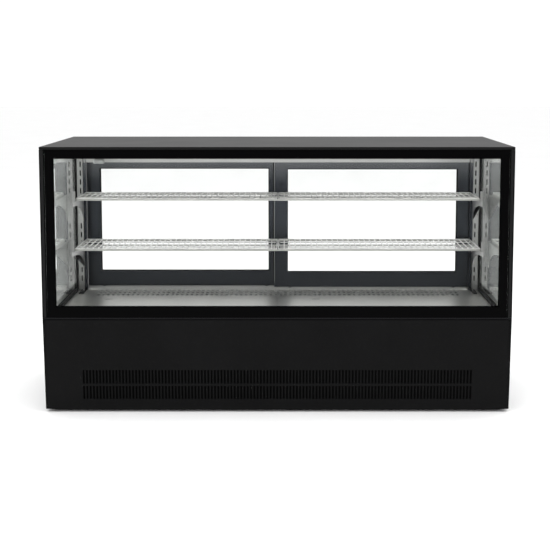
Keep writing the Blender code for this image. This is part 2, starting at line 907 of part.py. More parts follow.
def make_rear_air_grille():
    grille = box(
        "rear_air_grille",
        (-DECK_HALF, DECK_HALF),
        GRILLE_Y,
        (DECK_Z - SHEET, DECK_Z),
    )
    for side in SIDES:
        low_x, high_x = mirrored(side, POST_X[0] - GAP, DECK_HALF + 0.01)
        cut(grille, box("corner", (low_x, high_x), (PILASTER_Y[0] - GAP, BACK_Y), (0.36, 0.37)))
    centres = [(x, GRILLE_SLOT_Y, DECK_Z) for x in row_of(GRILLE_COUNT, GRILLE_PITCH)]
    cut(grille, boxes("air_slots", centres, (*GRILLE_SLOT, 0.01)))
    return finish(grille, "stainless")


# Light and sensor under the top


def make_led_light():
    front = FRONT_Y + GLASS + GAP
    back = front + 0.030
    wall = 0.003
    low = 1.005
    housing = box("led_housing", (-0.860, 0.860), (front, back), (low, UNDER_TOP))
    cut(housing, box(
        "channel",
        (-0.855, 0.855),
        (front + wall, back - wall),
        (low - 0.01, UNDER_TOP - wall),
    ))
    finish(housing, "aluminium")
    diffuser = box(
        "led_diffuser",
        (-0.855 + GAP, 0.855 - GAP),
        (front + wall + GAP, back - wall - GAP),
        (low + 0.002, UNDER_TOP - wall - GAP),
    )
    finish(diffuser, "diffuser_white")


def make_temperature_probe():
    """Small rounded sensor cover on the front of the header."""
    probe = box(
        "temperature_probe",
        (-0.801, -0.753),
        (0.2575, TRACK_Y - WEB - GAP),
        (0.922, 0.9405),
    )
    rounding = probe.modifiers.new("rounding", "BEVEL")
    rounding.width = 0.005
    rounding.segments = 3
    return finish(probe, "probe_grey")


# Refrigeration


def make_fan(name, centre, radius, hub_radius, depth, material):
    """Axial fan whose shaft lies along Y: a hub with pitched blades."""
    fan = cylinder(name, centre, hub_radius, depth, "Y", 20)
    blade_length = radius - hub_radius + 0.002
    for i in range(FAN_BLADES):
        turn = Matrix.Rotation(2 * math.pi * i / FAN_BLADES, 4, "Y")
        pitch = Matrix.Rotation(math.radians(35), 4, "Z")
        out = Matrix.Translation((0, 0, hub_radius - 0.002 + blade_length / 2))
        size = Matrix.Diagonal((radius * 0.62, 0.0016, blade_length, 1))
        bm = bmesh.new()
        bmesh.ops.create_cube(bm, size=1, matrix=turn @ out @ pitch @ size)
        blade = object_of("blade", mesh_of("blade", bm), centre)
        join(fan, blade)
    return finish(fan, material)


def fan_guard(frame, centre, hole_radius, motor_radius, plate_y, motor_depth):
    """Cuts a fan opening in an upright plate and hangs a motor behind it on three arms."""
    x, z = centre
    thick = plate_y[1] - plate_y[0]
    cut(frame, cylinder("fan_opening", (x, sum(plate_y) / 2, z), hole_radius, 4 * thick, "Y", 28))
    arm_y = (plate_y[1] - 0.0015, plate_y[1] + 0.0025)
    motor_y = arm_y[0] + motor_depth / 2
    join(frame, box(
        "arm",
        (x - hole_radius - 0.006, x + hole_radius + 0.006),
        arm_y,
        (z - 0.004, z + 0.004),
    ))
    join(frame, cylinder("motor", (x, motor_y, z), motor_radius, motor_depth, "Y", 20))


def make_condenser():
    """Finned coil behind the front louvres, with its fan shroud and motor on the back."""
    low_x, high_x = CONDENSER_X
    low_z, high_z = 0.050, 0.190
    coil = box("condenser_coil", (low_x, high_x), CONDENSER_Y, (low_z, high_z))
    groove_pitch = 0.010
    rows = round((high_z - low_z) / groove_pitch) - 1
    middle = ((low_x + high_x) / 2, (low_z + high_z) / 2)
    centres = [(middle[0], CONDENSER_Y[0], z) for z in row_of(rows, groove_pitch, middle[1])]
    cut(coil, boxes("fin_grooves", centres, (high_x - low_x - 0.016, 0.012, 0.004)))
    plate_y = (CONDENSER_Y[1] + 0.022, CONDENSER_Y[1] + 0.025)
    shroud = box(
        "shroud",
        (low_x + 0.001, high_x - 0.001),
        (CONDENSER_Y[1] - 0.001, plate_y[1]),
        (low_z + 0.001, high_z - 0.001),
    )
    throat = box(
        "throat",
        (low_x + 0.004, high_x - 0.004),
        (CONDENSER_Y[1] - 0.01, plate_y[0]),
        (low_z + 0.004, high_z - 0.004),
    )
    cut(shroud, throat)
    hole_at = (middle[0], plate_y[1], middle[1])
    hole = cylinder("fan_hole", hole_at, CONDENSER_FAN_R + 0.003, 0.010, "Y", segments=28)
    cut(shroud, hole)
    join(coil, shroud)
    arm_y = (plate_y[1] + 0.026, plate_y[1] + 0.029)
    reach = CONDENSER_FAN_R + 0.012
    for sign in (-1, 1):
        join(coil, box(
            "leg",
            (middle[0] + sign * reach - 0.004, middle[0] + sign * reach + 0.004),
            (plate_y[1] - 0.001, arm_y[1]),
            (middle[1] - 0.006, middle[1] + 0.006),
        ))
    join(coil, box(
        "spider",
        (middle[0] - reach, middle[0] + reach),
        (arm_y[0], arm_y[1] - 0.0005),
        (middle[1] - 0.005, middle[1] + 0.005),
    ))
    join(coil, cylinder("motor", (middle[0], arm_y[0] + 0.025, middle[1]), 0.028, 0.050, "Y", 20))
    finish(coil, "fin_aluminium")
    fan_y = plate_y[1] + 0.010
    make_fan("condenser_fan", (middle[0], fan_y, middle[1]), CONDENSER_FAN_R, 0.020, 0.024, "fan_plastic")


def make_compressor():
    """Hermetic compressor can on its mounting plate."""
    x, y = COMPRESSOR_AT
    foot = 0.0473
    crown = 0.198
    radius = COMPRESSOR_R
    dome = 0.035
    steps = 5
    profile = []
    for i in range(steps + 1):
        angle = math.pi / 2 * i / steps
        profile.append((radius * math.sin(angle), crown - dome + dome * math.cos(angle)))
    profile += [(radius, foot + 0.020), (radius - 0.012, foot + 0.006), (0, foot + 0.006)]
    profile[0] = (0, crown)
    compressor = turned("compressor", profile, (x, y, 0), steps=28)
    join(compressor, box(
        "mounting_plate",
        (x - 0.100, x + 0.100),
        (y - 0.065, y + 0.065),
        (foot, foot + 0.008),
    ))
    join(compressor, box(
        "terminal_box",
        (x + radius - 0.010, x + radius + 0.022),
        (y - 0.025, y + 0.025),
        (0.095, 0.145),
    ))
    return finish(compressor, "compressor_black")


def make_refrigerant_line():
    """Discharge pipe from the compressor to the condenser."""
    x, y = COMPRESSOR_AT
    start_x = x - COMPRESSOR_R - 0.001
    end_y = CONDENSER_Y[1] - 0.020
    end_x = CONDENSER_X[1] + GAP
    height = 0.150
    bend = 0.020
    run_x = (start_x + end_x) / 2 + 0.020
    points = [(start_x, y, height), (run_x + bend, y, height)]
    for i in range(1, 4):
        angle = math.pi / 2 * i / 4
        points.append((run_x + bend - bend * math.sin(angle), y - bend + bend * math.cos(angle), height))
    points.append((run_x, y - bend, height))
    points.append((run_x, end_y + bend, height))
    for i in range(1, 4):
        angle = math.pi / 2 * i / 4
        out_x = run_x - bend + bend * math.cos(angle)
        points.append((out_x, end_y + bend - bend * math.sin(angle), height))
    points.append((run_x - bend, end_y, height))
    points.append((end_x, end_y, height))
    return finish(tube("refrigerant_line", points, 0.004), "copper")


def make_condensate_tray():
    tray = open_box("condensate_tray", (0.100, 0.480), (-0.100, 0.180), (0.0473, 0.085), 0.002)
    return finish(tray, "fan_plastic")


def make_evaporator():
    """Coil in the well, and the plate with two fans that draws air through it."""
    coil = box("evaporator_coil", (-0.550, 0.550), (-0.020, 0.230), (WELL_Z + GAP, 0.335))
    groove_pitch = 0.050
    rows = 21
    centres = [((i - (rows - 1) / 2) * groove_pitch, 0.105, 0.335) for i in range(rows)]
    cut(coil, boxes("fin_grooves", centres, (0.020, 0.27, 0.06)))
    finish(coil, "fin_aluminium")
    plate_y = (EVAPORATOR_FAN_Y + 0.012, EVAPORATOR_FAN_Y + 0.015)
    housing = box(
        "evaporator_fan_housing",
        (-0.300, 0.300),
        plate_y,
        (WELL_Z + GAP, 0.3385),
    )
    middle_z = (WELL_Z + 0.3385) / 2
    for side, sign in SIDES.items():
        x = sign * EVAPORATOR_FAN_X
        fan_guard(housing, (x, middle_z), EVAPORATOR_FAN_R + 0.003, 0.014, plate_y, 0.024)
        fan_at = (x, EVAPORATOR_FAN_Y + 0.0025, middle_z)
        make_fan(f"evaporator_fan_{side}", fan_at, EVAPORATOR_FAN_R, 0.012, 0.018, "fan_plastic")
    finish(housing, "galvanised")


# Controls on the service side


def make_temperature_controller():
    """Control plate with wells for two keys and a rocker, and its body inside the machine compartment."""
    low_x, high_x = CONTROLS_X
    low_z, high_z = CONTROLS_Z
    plate_back = REAR_PANEL_Y + REAR_PANEL + GAP
    plate = box(
        "temperature_controller",
        (low_x, high_x),
        (plate_back, CONTROLS_FACE_Y),
        (low_z, high_z),
    )
    inset = 0.004
    body = box(
        "body",
        (low_x + inset, high_x - inset),
        (0.300, plate_back + 0.001),
        (low_z + inset, high_z - inset),
    )
    join(plate, body)
    key_well = (KEY[0] + 2 * GAP, 0.010, KEY[1] + 2 * GAP)
    wells = [("key_well", x, key_well) for x in KEY_X.values()]
    wells += [("rocker_well", ROCKER_X, ROCKER_WELL), ("display_recess", DISPLAY_X, DISPLAY_RECESS)]
    for name, x, size in wells:
        cut(plate, boxes(name, [(x, CONTROLS_FACE_Y, CONTROLS_MID_Z)], size))
    finish(plate, "control_plastic")
    for name, x in KEY_X.items():
        key_y = (CONTROLS_FACE_Y - 0.0035, CONTROLS_FACE_Y + 0.0015)
        key = box(f"key_{name}", around(x, KEY[0]), key_y, around(CONTROLS_MID_Z, KEY[1]))
        finish(key, "key_grey")


def make_light_switch():
    """Rocker that turns about the X axis through its own origin."""
    half = 0.0098
    front = 0.0055
    back_r = 0.0070
    steps = 8
    outline = [(front, half), (front - 0.0022, half)]
    for i in range(steps + 1):
        angle = math.pi / 2 + math.pi * i / steps
        outline.append((back_r * math.cos(angle), back_r * math.sin(angle)))
    outline += [(front - 0.0022, -half), (front, -half), (front - 0.0012, 0)]
    axis = (ROCKER_X, CONTROLS_FACE_Y - 0.0035, CONTROLS_MID_Z)
    rocker = extruded("light_switch", outline, 0.0130, "YZ", axis)
    upright = rocker.rotation_euler.to_matrix()
    rocker.rotation_euler = (Matrix.Rotation(ROCKER_TILT, 3, "X") @ upright).to_euler()
    return finish(rocker, "key_grey")


def make_cable_gland():
    """Nut, dome and threaded stem of the mains cable entry, without a cable."""
    x, z = GLAND_AT
    face = REAR_PANEL_Y + REAR_PANEL + GAP
    nut = 0.012
    crown = 0.0115
    stem = GLAND_HOLE_R - 0.0005
    profile = [(0, crown), (nut / 2, crown), (0.010, 0.008), (nut, nut / 2)]
    profile += [(nut, 0), (stem, 0), (stem, -nut), (0, -nut)]
    gland = turned("cable_gland", profile, (x, face, z), steps=12)
    gland.rotation_euler = (-math.pi / 2, 0, 0)
    return finish(gland, "control_plastic")


def main():
    clear_scene()
    make_materials()
    make_base_frame()
    make_levelling_feet()
    make_front_panel()
    make_side_panels()
    make_rear_panel()
    make_insulated_tub()
    make_base_trim()
    make_top_panel()
    make_glass()
    make_glass_gasket()
    make_rear_posts()
    make_rear_header()
    make_door_sill_track()
    make_doors()
    make_shelving()
    make_deck_pans()
    make_rear_air_grille()
    make_led_light()
    make_temperature_probe()
    make_condenser()
    make_compressor()
    make_refrigerant_line()
    make_condensate_tray()
    make_evaporator()
    make_temperature_controller()
    make_light_switch()
    make_cable_gland()


main()
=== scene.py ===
"""Looks of the refrigerated deli case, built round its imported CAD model."""

import json
import math

import bmesh
import bpy
from mathutils import Matrix, Vector


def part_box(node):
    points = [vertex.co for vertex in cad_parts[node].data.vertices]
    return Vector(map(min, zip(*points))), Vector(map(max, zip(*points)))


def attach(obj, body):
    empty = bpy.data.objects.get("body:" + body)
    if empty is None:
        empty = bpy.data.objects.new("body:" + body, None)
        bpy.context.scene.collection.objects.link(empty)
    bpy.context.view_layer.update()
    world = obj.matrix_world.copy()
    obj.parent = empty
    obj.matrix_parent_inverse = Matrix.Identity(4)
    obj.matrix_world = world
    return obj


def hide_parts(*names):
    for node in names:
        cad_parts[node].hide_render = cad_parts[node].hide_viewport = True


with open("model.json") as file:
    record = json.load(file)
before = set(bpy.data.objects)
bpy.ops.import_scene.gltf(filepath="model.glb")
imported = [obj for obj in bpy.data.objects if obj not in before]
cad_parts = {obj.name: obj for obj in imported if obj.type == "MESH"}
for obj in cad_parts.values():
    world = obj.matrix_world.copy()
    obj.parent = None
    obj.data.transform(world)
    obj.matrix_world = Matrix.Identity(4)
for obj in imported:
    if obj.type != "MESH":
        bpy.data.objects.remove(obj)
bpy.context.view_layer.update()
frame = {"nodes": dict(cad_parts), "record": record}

RECORD = frame["record"]
NODES = frame["nodes"]
SIDES = {"left": -1, "right": 1}
LEVELS = ("upper", "lower")
BODY_OF = {node: body for body, nodes in RECORD["behaviour"]["bodies"].items() for node in nodes}
SLOT_OF = {part["node"]: part["material_slot"] for part in RECORD["subparts"]}
CABINET = "cabinet"

# Every length is in metres.

# Points closer than this are one point.
WELD = 0.000005

# Glazing
PANE = 0.005
DOOR_PANE = 0.004
FRIT = {"side": 0.032, "low": 0.0422, "high": 0.035}
GLASS_CHAMFER = 0.0007
SEALANT_DEPTH = 0.0014
SIDE_RIM = 0.0012
SPACER = {"inset": 0.0016, "width": 0.011}
DOOR_RIM = 0.003
DOOR_BEAD = (0.0002, 0.003)

# Louvres of the lower shell, with each row's lowest and highest point
LOUVRE_PITCH = 0.0127
LOUVRE_COUNT = 119
LOUVRE_WIDTH = 0.0075
LOUVRE_ROWS = ((0.0514, 0.1062), (0.1139, 0.1704))
BLADE = {"width": 0.0068, "thickness": 0.0009, "turn": 52, "end_gap": 0.004}
# A black filter mat behind the louvres, which paints the shade seen through them
SHADE_FILTER = {"z": (-0.0098, -0.0078), "margin": 0.004}
REAR_LOUVRES = {"count": 24, "pitch": 0.025, "width": 0.01, "x": -0.15, "z": (0.06, 0.18)}

# Sheet metal
PANEL_DEPTH = 0.003
PANEL_SHEET = 0.002
PANEL_FOLD = {"sheet": 0.0016, "depth": 0.01, "middle": -0.0052}
PAN_SHEET = 0.0017
PAN_LIP_END = 0.843
PAN_FRONT = -0.283
FINGER_HOLE = {"radii": (0.019, 0.007), "inset": 0.1585, "y": 0.069}
GRILLE = {"count": 74, "pitch": 0.0211, "hole": (0.012, 0.03), "rows": (0.163, 0.21, 0.257)}
GRILLE_NOTCH = {"x": 0.8337, "y": 0.2544}
END_PAD = {"x": (0.8375, 0.858), "y": (0.176, 0.2535), "height": 0.0055, "screw": (0.8478, 0.238)}

# Rear frame and doors
POST_CHANNEL = 0.009
POST_COVER = {"x": (0.8342, 0.8462), "thickness": 0.0014}
POST_SCREW_X = 0.857
PULL_HALF = (0.009, 0.011, 0.15)
ROLLER_MARGIN = (0.0015, 0.0007, 0.001)
ROLLER_DROP = 0.01
PILE_SEAL = {"inset": 0.006, "width": 0.005, "depth": 0.0032}
STRIP_ENDS = (0.02, 0.035)

# Shelving
WIRE_PITCH = 0.023
PILASTER_WALL = 0.0015
PILASTER_SLOTS = {"count": 16, "pitch": 0.0384, "lowest": 0.421, "x": 0.856, "size": (0.0058, 0.025)}
PILASTER_SCREWS = {"x": 0.865, "z": (0.3965, 0.7, 1.01)}

# Controls, machinery and feet
DISPLAY_X = (0.534, 0.566)
DISPLAY_HALF_HEIGHT = 0.0085
GLAND_FACE = 0.3381
GLAND_NUT = 0.012
FINS = {"count": 100, "pitch": 0.0028, "thickness": 0.0002}
COIL_TUBES = {"count": 5, "pitch": 0.026, "radius": 0.0022}
BAND = {"radius": 0.074, "height": 0.118, "wire": 0.003, "points": 26, "step": 0.1}
STEM = {"radius": 0.0052, "turns": 20, "pitch": 0.0021, "depth": 0.0007}
FOOT_PAD = ((0.02, 0.0046), (0.0216, 0.0036), (0.022, 0.0012), (0.021, 0.0))

# Turns a shape that points up Z so that it points another way
TOWARDS = {
    "Y": Matrix.Rotation(-math.pi / 2, 4, "X"),
    "-Y": Matrix.Rotation(math.pi / 2, 4, "X"),
    "Z": Matrix.Identity(4),
}


# Materials


def add_node(tree, kind, inputs=(), **settings):
    """A new shader node; each of its inputs takes a value or another node's output."""
    made = tree.nodes.new("ShaderNode" + kind)
    for name, value in settings.items():
        setattr(made, name, value)
    for name, value in dict(inputs).items():
        if isinstance(value, bpy.types.NodeSocket):
            tree.links.new(value, made.inputs[name])
        else:
            made.inputs[name].default_value = value
    return made


class Look:
    """One material: its nodes, with a Principled shader for a surface."""

    def __init__(self, name, colour, roughness, metallic=0.0, **sockets):
        self.material = bpy.data.materials.new(name)
        self.material.use_nodes = True
        self.tree = self.material.node_tree
        self.shader = self.tree.nodes["Principled BSDF"]
        self.base = (*colour, 1)
        self.set("Base Color", self.base)
        self.set("Roughness", roughness)
        self.set("Metallic", metallic)
        for socket, value in sockets.items():
            self.set(socket.replace("_", " "), value)
        self.material.diffuse_color = self.base

    def set(self, socket, value):
        self.shader.inputs[socket].default_value = value

    def node(self, kind, inputs=(), **settings):
        return add_node(self.tree, kind, inputs, **settings)

    def place(self):
        return self.node("TexCoord").outputs["Object"]

    def link(self, output, socket):
        self.tree.links.new(output, self.shader.inputs[socket])

    def noise(self, scale, stretch=(1, 1, 1), detail=3.0):
        """Noise in the object's own metres; scale is how many lumps there are to a metre."""
        spread = [scale * part for part in stretch]
        mapping = self.node("Mapping", {"Vector": self.place(), "Scale": spread})
        noise = {"Vector": mapping.outputs[0], "Scale": 1.0, "Detail": detail}
        return self.node("TexNoise", noise).outputs["Fac"]

    def remap(self, value, low, high, start=0.3, end=0.7):
        inputs = {"Value": value, "From Min": start, "From Max": end, "To Min": low, "To Max": high}
        return self.node("MapRange", inputs).outputs["Result"]

    def mix(self, factor, first, second):
        """Goes from the first to the second colour with the factor. Either may be another node's output."""
        inputs = {"Factor": factor, 6: first, 7: second}
        return self.node("Mix", inputs, data_type="RGBA").outputs[2]

    def shades(self, texture, spread, start=0.3, end=0.7):
        """A little darker and lighter than the base colour, as the texture goes."""
        dark = [part * (1 - spread) for part in self.base[:3]] + [1]
        light = [min(1, part * (1 + spread)) for part in self.base[:3]] + [1]
        colour = self.mix(self.remap(texture, 0, 1, start, end), dark, light)
        self.link(colour, "Base Color")
        return colour

    def rough(self, value, *levels):
        self.link(self.remap(value, *levels), "Roughness")

    def bump(self, height, distance, strength=0.5):
        inputs = {"Height": height, "Distance": distance, "Strength": strength}
        self.link(self.node("Bump", inputs).outputs["Normal"], "Normal")

    def grained(self, texture, spread, low, high, depth, strength):
        """One texture shades the colour, the gloss and the surface."""
        self.shades(texture, spread)
        self.rough(texture, low, high)
        self.bump(texture, depth, strength)
        return self.material


def powder_coat(name, colour, roughness, specular=0.25, grain=700, cloudy=0.18):
    """Sprayed coat: a fine orange peel, slight cloudiness and a little dust."""
    look = Look(name, colour, roughness, Specular_IOR_Level=specular)
    cloud = look.noise(5, detail=4)
    peel = look.noise(grain, detail=2)
    shade = look.shades(cloud, cloudy)
    dust = look.remap(look.noise(160, detail=5), 0, 0.06, 0.55, 0.8)
    look.link(look.mix(dust, shade, (0.08, 0.08, 0.078, 1)), "Base Color")
    look.rough(cloud, roughness - cloudy * 0.3, roughness + cloudy * 0.4)
    look.bump(peel, 0.00003, 0.3)
    return look.material


def brushed(name, colour, roughness, grain=(4, 700, 700), spread=0.1, metallic=1.0, lighter=None):
    """Metal with a grain along the axis whose scale is small, light scuffs and a soft variation.

    With lighter, a (colour, low, high) triple, its colour goes over to that paler colour between two
    heights: a painted highlight towards the top.
    """
    look = Look(name, colour, roughness, metallic)
    lines = look.noise(1, grain, detail=6)
    cloud = look.noise(6)
    scuff = look.remap(look.noise(38, (1, 3, 1), detail=8), 0, 0.03, 0.58, 0.75)
    shade = look.shades(lines, spread)
    # Painted highlight: the colour pales towards the top, standing in for light that falls on it from above.
    if lighter:
        pale, start, end = lighter
        height = look.node("SeparateXYZ", {"Vector": look.place()}).outputs["Z"]
        look.link(look.mix(look.remap(height, 0, 1, start, end), shade, (*pale, 1)), "Base Color")
    level = look.remap(cloud, roughness - 0.02, roughness + 0.03)
    look.link(look.node("Math", {0: level, 1: scuff}, operation="ADD").outputs[0], "Roughness")
    look.bump(lines, 0.000004, 0.15)
    return look.material


def plated(name, colour, roughness):
    """Bright plated wire with faint drawing marks and duller patches."""
    look = Look(name, colour, roughness, 0.75)
    patches = look.noise(45, detail=5)
    look.shades(look.noise(900, (1, 0.05, 1)), 0.06)
    look.rough(patches, roughness - 0.04, roughness + 0.08)
    look.bump(look.noise(1500, detail=2), 0.000002, 0.1)
    return look.material


def zinc(name, colour, roughness):
    """Zinc plate with its crystal spangle."""
    look = Look(name, colour, roughness, 0.8)
    spangle = look.node("TexVoronoi", {"Vector": look.place(), "Scale": 90.0}).outputs["Distance"]
    look.shades(spangle, 0.2, 0.1)
    look.rough(spangle, roughness - 0.12, roughness + 0.12, 0.1)
    look.bump(spangle, 0.00006, 0.3)
    return look.material


def moulded(name, colour, roughness, grain=1100, depth=0.00005, specular=0.4):
    """Moulded plastic or rubber with a fine texture from its tool."""
    look = Look(name, colour, roughness, Specular_IOR_Level=specular)
    texture = look.noise(grain)
    cloud = look.noise(14)
    look.shades(cloud, 0.12)
    look.rough(texture, roughness - 0.06, roughness + 0.08)
    look.bump(texture, depth, 0.5)
    return look.material


def frit_print(name):
    """Black ceramic print on the border of the glass, with a few fine pinholes."""
    look = Look(name, (0.001, 0.001, 0.0011), 0.1, Specular_IOR_Level=0.022)
    speck = look.remap(look.noise(900, detail=2), 0, 0.5, 0.74, 0.8)
    look.link(look.mix(speck, look.base, (0.03, 0.03, 0.032, 1)), "Base Color")
    look.rough(look.noise(9), 0.07, 0.16)
    return look.material


def clear_glass(name, tint, gloss, full=1.0):
    """Thin float glass: what is behind shows straight through, and gloss grows towards a grazing view.

    A coated pane is given a lower full, as it becomes a mirror before the view grazes it.
    """
    look = Look(name, tint, 0.02)
    tree = look.tree
    tree.nodes.remove(look.shader)
    output = next(node for node in tree.nodes if node.type == "OUTPUT_MATERIAL")
    smear = look.noise(7, detail=5)
    dusty = look.remap(smear, 0.0, 1.0, 0.45, 0.75)
    shade = look.mix(dusty, (*tint, 1), (*[part * 0.985 for part in tint], 1))
    clear = look.node("BsdfTransparent", {"Color": shade})
    mirror = look.node("BsdfGlossy", {"Color": (0.96, 0.98, 0.97, 1), "Roughness": 0.015})
    facing = look.node("LayerWeight", {"Blend": 0.5}).outputs["Facing"]
    grazing = look.node("Math", {0: facing, 1: 5.0}, operation="POWER").outputs[0]
    factor = look.remap(grazing, gloss, 0.95, 0.0, full)
    mixed = look.node("MixShader", {0: factor, 1: clear.outputs[0], 2: mirror.outputs[0]})
    tree.links.new(mixed.outputs[0], output.inputs["Surface"])
    return look.material


def glass_edge(name):
    """Ground and sealed rim of a pane."""
    look = Look(name, (0.0012, 0.0015, 0.0014), 0.38, Specular_IOR_Level=0.02)
    return look.grained(look.noise(1300, detail=2), 0.3, 0.3, 0.48, 0.00004, 0.5)


def bare_copper(name):
    """Copper pipe with patches of tarnish."""
    look = Look(name, (0.55, 0.24, 0.13), 0.3, 1.0)
    patches = look.noise(60, detail=6)
    tarnish = look.remap(patches, 0, 1, 0.42, 0.68)
    look.link(look.mix(tarnish, (0.6, 0.28, 0.16, 1), (0.22, 0.09, 0.05, 1)), "Base Color")
    look.rough(patches, 0.22, 0.48)
    return look.material


def opal(name):
    """Ribbed diffuser that glows."""
    glow = {"Emission_Color": (1.0, 0.98, 0.94, 1), "Emission_Strength": 20.0}
    look = Look(name, (0.86, 0.88, 0.87), 0.42, **glow)
    ribs = look.node("TexWave", {"Scale": 160.0}, bands_direction="Y").outputs["Fac"]
    look.shades(look.noise(20), 0.03)
    look.bump(ribs, 0.0001, 0.4)
    return look.material


def enamel(name):
    """Gloss enamel with shallow runs."""
    look = Look(name, (0.012, 0.012, 0.013), 0.22, Coat_Weight=0.3, Coat_Roughness=0.1)
    return look.grained(look.noise(30, (1, 1, 0.4)), 0.2, 0.18, 0.34, 0.0004, 0.3)


# A painted highlight: the paler colour of the door frames' upper end, standing in for light that the top
# rails catch, and the heights between which it takes over
DOOR_TOP_PAINTED_HIGHLIGHT = ((0.155, 0.16, 0.168), 0.84, 0.95)

# The finish of each material slot in the record: its kind, colour and roughness, then what that kind takes
FINISHES = {
    "black_steel": (powder_coat, (0.0042, 0.0042, 0.0044), 0.46, 0.055),
    "satin_black_top": (powder_coat, (0.008, 0.008, 0.0081), 0.46, 0.085, 500, 0.04),
    # Dark anodising, with a painted highlight towards the top of the door frames
    "dark_aluminium": (brushed, (0.04, 0.044, 0.052), 0.3, (500, 500, 5), 0.12, 1.0, DOOR_TOP_PAINTED_HIGHLIGHT),
    "stainless": (brushed, (0.5, 0.5, 0.48), 0.34, (4, 700, 700), 0.06, 0.88),
    "aluminium": (brushed, (0.52, 0.52, 0.51), 0.38, (3, 500, 500), 0.06),
    "chrome_wire": (plated, (0.8, 0.8, 0.79), 0.42),
    "glass": (clear_glass, (0.996, 0.999, 0.997), 0.004),
    "gasket_rubber": (moulded, (0.0065, 0.0065, 0.0065), 0.64, 800, 0.0001, 0.1),
    "insulated_body": (powder_coat, (0.42, 0.43, 0.43), 0.45, 0.4),
    "galvanised": (zinc, (0.42, 0.43, 0.44), 0.45),
    "compressor_black": (enamel,),
    "fin_aluminium": (brushed, (0.58, 0.58, 0.56), 0.42, (900, 900, 6), 0.12),
    "copper": (bare_copper,),
    "fan_plastic": (moulded, (0.022, 0.022, 0.024), 0.5),
    "control_plastic": (moulded, (0.014, 0.014, 0.015), 0.42),
    "key_grey": (moulded, (0.3, 0.31, 0.32), 0.45),
    "diffuser_white": (opal,),
    "probe_grey": (moulded, (0.52, 0.53, 0.53), 0.4),
}
LOOKS = {name: kind(name, *settings) for name, (kind, *settings) in FINISHES.items()}

# Finishes that a slot needs in a second form
BRUSHED_UP = brushed("stainless_upright", (0.37, 0.37, 0.365), 0.34, (700, 700, 4), 0.06)
COATED_GLASS = clear_glass("coated_glass", (0.975, 0.985, 0.972), 0.012, 0.5)
# The next two paint shade: a black filter mat behind the louvres, and a near-black finish inside slots and
# louvres
SHADE_FILTER_FOAM = moulded("shade_filter_foam", (0.006, 0.006, 0.006), 0.85, 420, 0.0006, 0.05)
SLOT_SHADE = moulded("slot_shade", (0.004, 0.004, 0.004), 0.7, 300, 0.0001, 0.02)
TOP_RAIL = brushed("stainless_header", (0.5, 0.5, 0.49), 0.3, (3, 600, 600), 0.1)
FRIT_BLACK = frit_print("frit_black")
PRINTED_GLASS = (LOOKS["glass"], FRIT_BLACK)
EDGE = glass_edge("glass_edge")
SEALANT = moulded("sealant", (0.0075, 0.0075, 0.0078), 0.5, 500, 0.00004, 0.12)
TRIM_BLACK = brushed("trim_black", (0.0135, 0.0135, 0.0145), 0.4, (3, 500, 500), 0.12)
SCREW_METAL = plated("screw_metal", (0.6, 0.6, 0.58), 0.26)
WHITE_MARK = moulded("white_mark", (0.62, 0.62, 0.6), 0.55)
DISPLAY = moulded("display_lens", (0.02, 0.004, 0.004), 0.08, 40, 0.00001, 0.5)


# Meshes


def shift(x, y, z):
    return Matrix.Translation((x, y, z))


def added(name, data):
    made = bpy.data.objects.new(name, data)
    bpy.context.scene.collection.objects.link(made)
    return made


def even_normals(piece):
    """Large flat faces keep flat normals up to their rounded edges."""
    piece.modifiers.new("even_normals", "WEIGHTED_NORMAL").keep_sharp = True


def evaluated_mesh(made):
    bpy.context.view_layer.update()
    return bpy.data.meshes.new_from_object(made.evaluated_get(bpy.context.evaluated_depsgraph_get()))


def finished(name, bm, materials, angle=50, even=True):
    """A smooth-shaded object from a bmesh, sharp where its faces meet steeply."""
    bmesh.ops.recalc_face_normals(bm, faces=bm.faces)
    mesh = bpy.data.meshes.new(name)
    bm.to_mesh(mesh)
    bm.free()
    mesh.shade_smooth()
    mesh.set_sharp_from_angle(angle=math.radians(angle))
    made = added(name, mesh)
    for material in materials:
        mesh.materials.append(material)
    if even:
        even_normals(made)
    return made


def mount(piece, body=CABINET, nodes=()):
    """Says what a finished piece moves with and which nodes it stands for."""
    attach(piece, body)
    if nodes:
        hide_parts(*nodes)
    return piece


def stand_in(piece, node):
    """The piece takes over one CAD node, moving with its body."""
    return mount(piece, BODY_OF[node], (node,))


def block(name, low, high, material, radius, segments=2, angle=50):
    """A finished box of its own with rounded edges."""
    bm = bmesh.new()
    add_block(bm, low, high, radius, segments)
    return finished(name, bm, [material], angle)


def paint(faces, material):
    for face in faces:
        face.material_index = material


def add_block(bm, low, high, radius=0.0, segments=2, material=0):
    """A box with rounded edges."""
    low, high = Vector(low), Vector(high)
    place = shift(*((low + high) / 2)) @ Matrix.Diagonal((*(high - low), 1))
    verts = bmesh.ops.create_cube(bm, size=1, matrix=place)["verts"]
    paint({face for vert in verts for face in vert.link_faces}, material)
    if radius:
        edges = list({edge for vert in verts for edge in vert.link_edges})
        made = bmesh.ops.bevel(
            bm, geom=edges, offset=radius, segments=segments, profile=0.5, affect="EDGES", clamp_overlap=True
        )
        paint(made["faces"], material)


def add_rod(bm, start, end, radius, sides=10, ease=0.25, material=0):
    """A round rod with eased ends."""
    start, end = Vector(start), Vector(end)
    along = end - start
    turn = along.to_track_quat("Z", "Y").to_matrix().to_4x4()
    place = shift(*((start + end) / 2)) @ turn
    size = {"radius1": radius, "radius2": radius, "depth": along.length}
    verts = bmesh.ops.create_cone(bm, cap_ends=True, segments=sides, matrix=place, **size)["verts"]
    if ease:
        rims = [
            edge
            for edge in {edge for vert in verts for edge in vert.link_edges}
            if any(len(face.verts) > 4 for face in edge.link_faces)
        ]
        eased = bmesh.ops.bevel(bm, geom=rims, offset=radius * ease, segments=1, affect="EDGES")
        paint(eased["faces"], material)
    for vert in verts:
        if vert.is_valid:
            paint(vert.link_faces, material)


def on_circle(radius, turn):
    return (radius * math.cos(turn), radius * math.sin(turn))


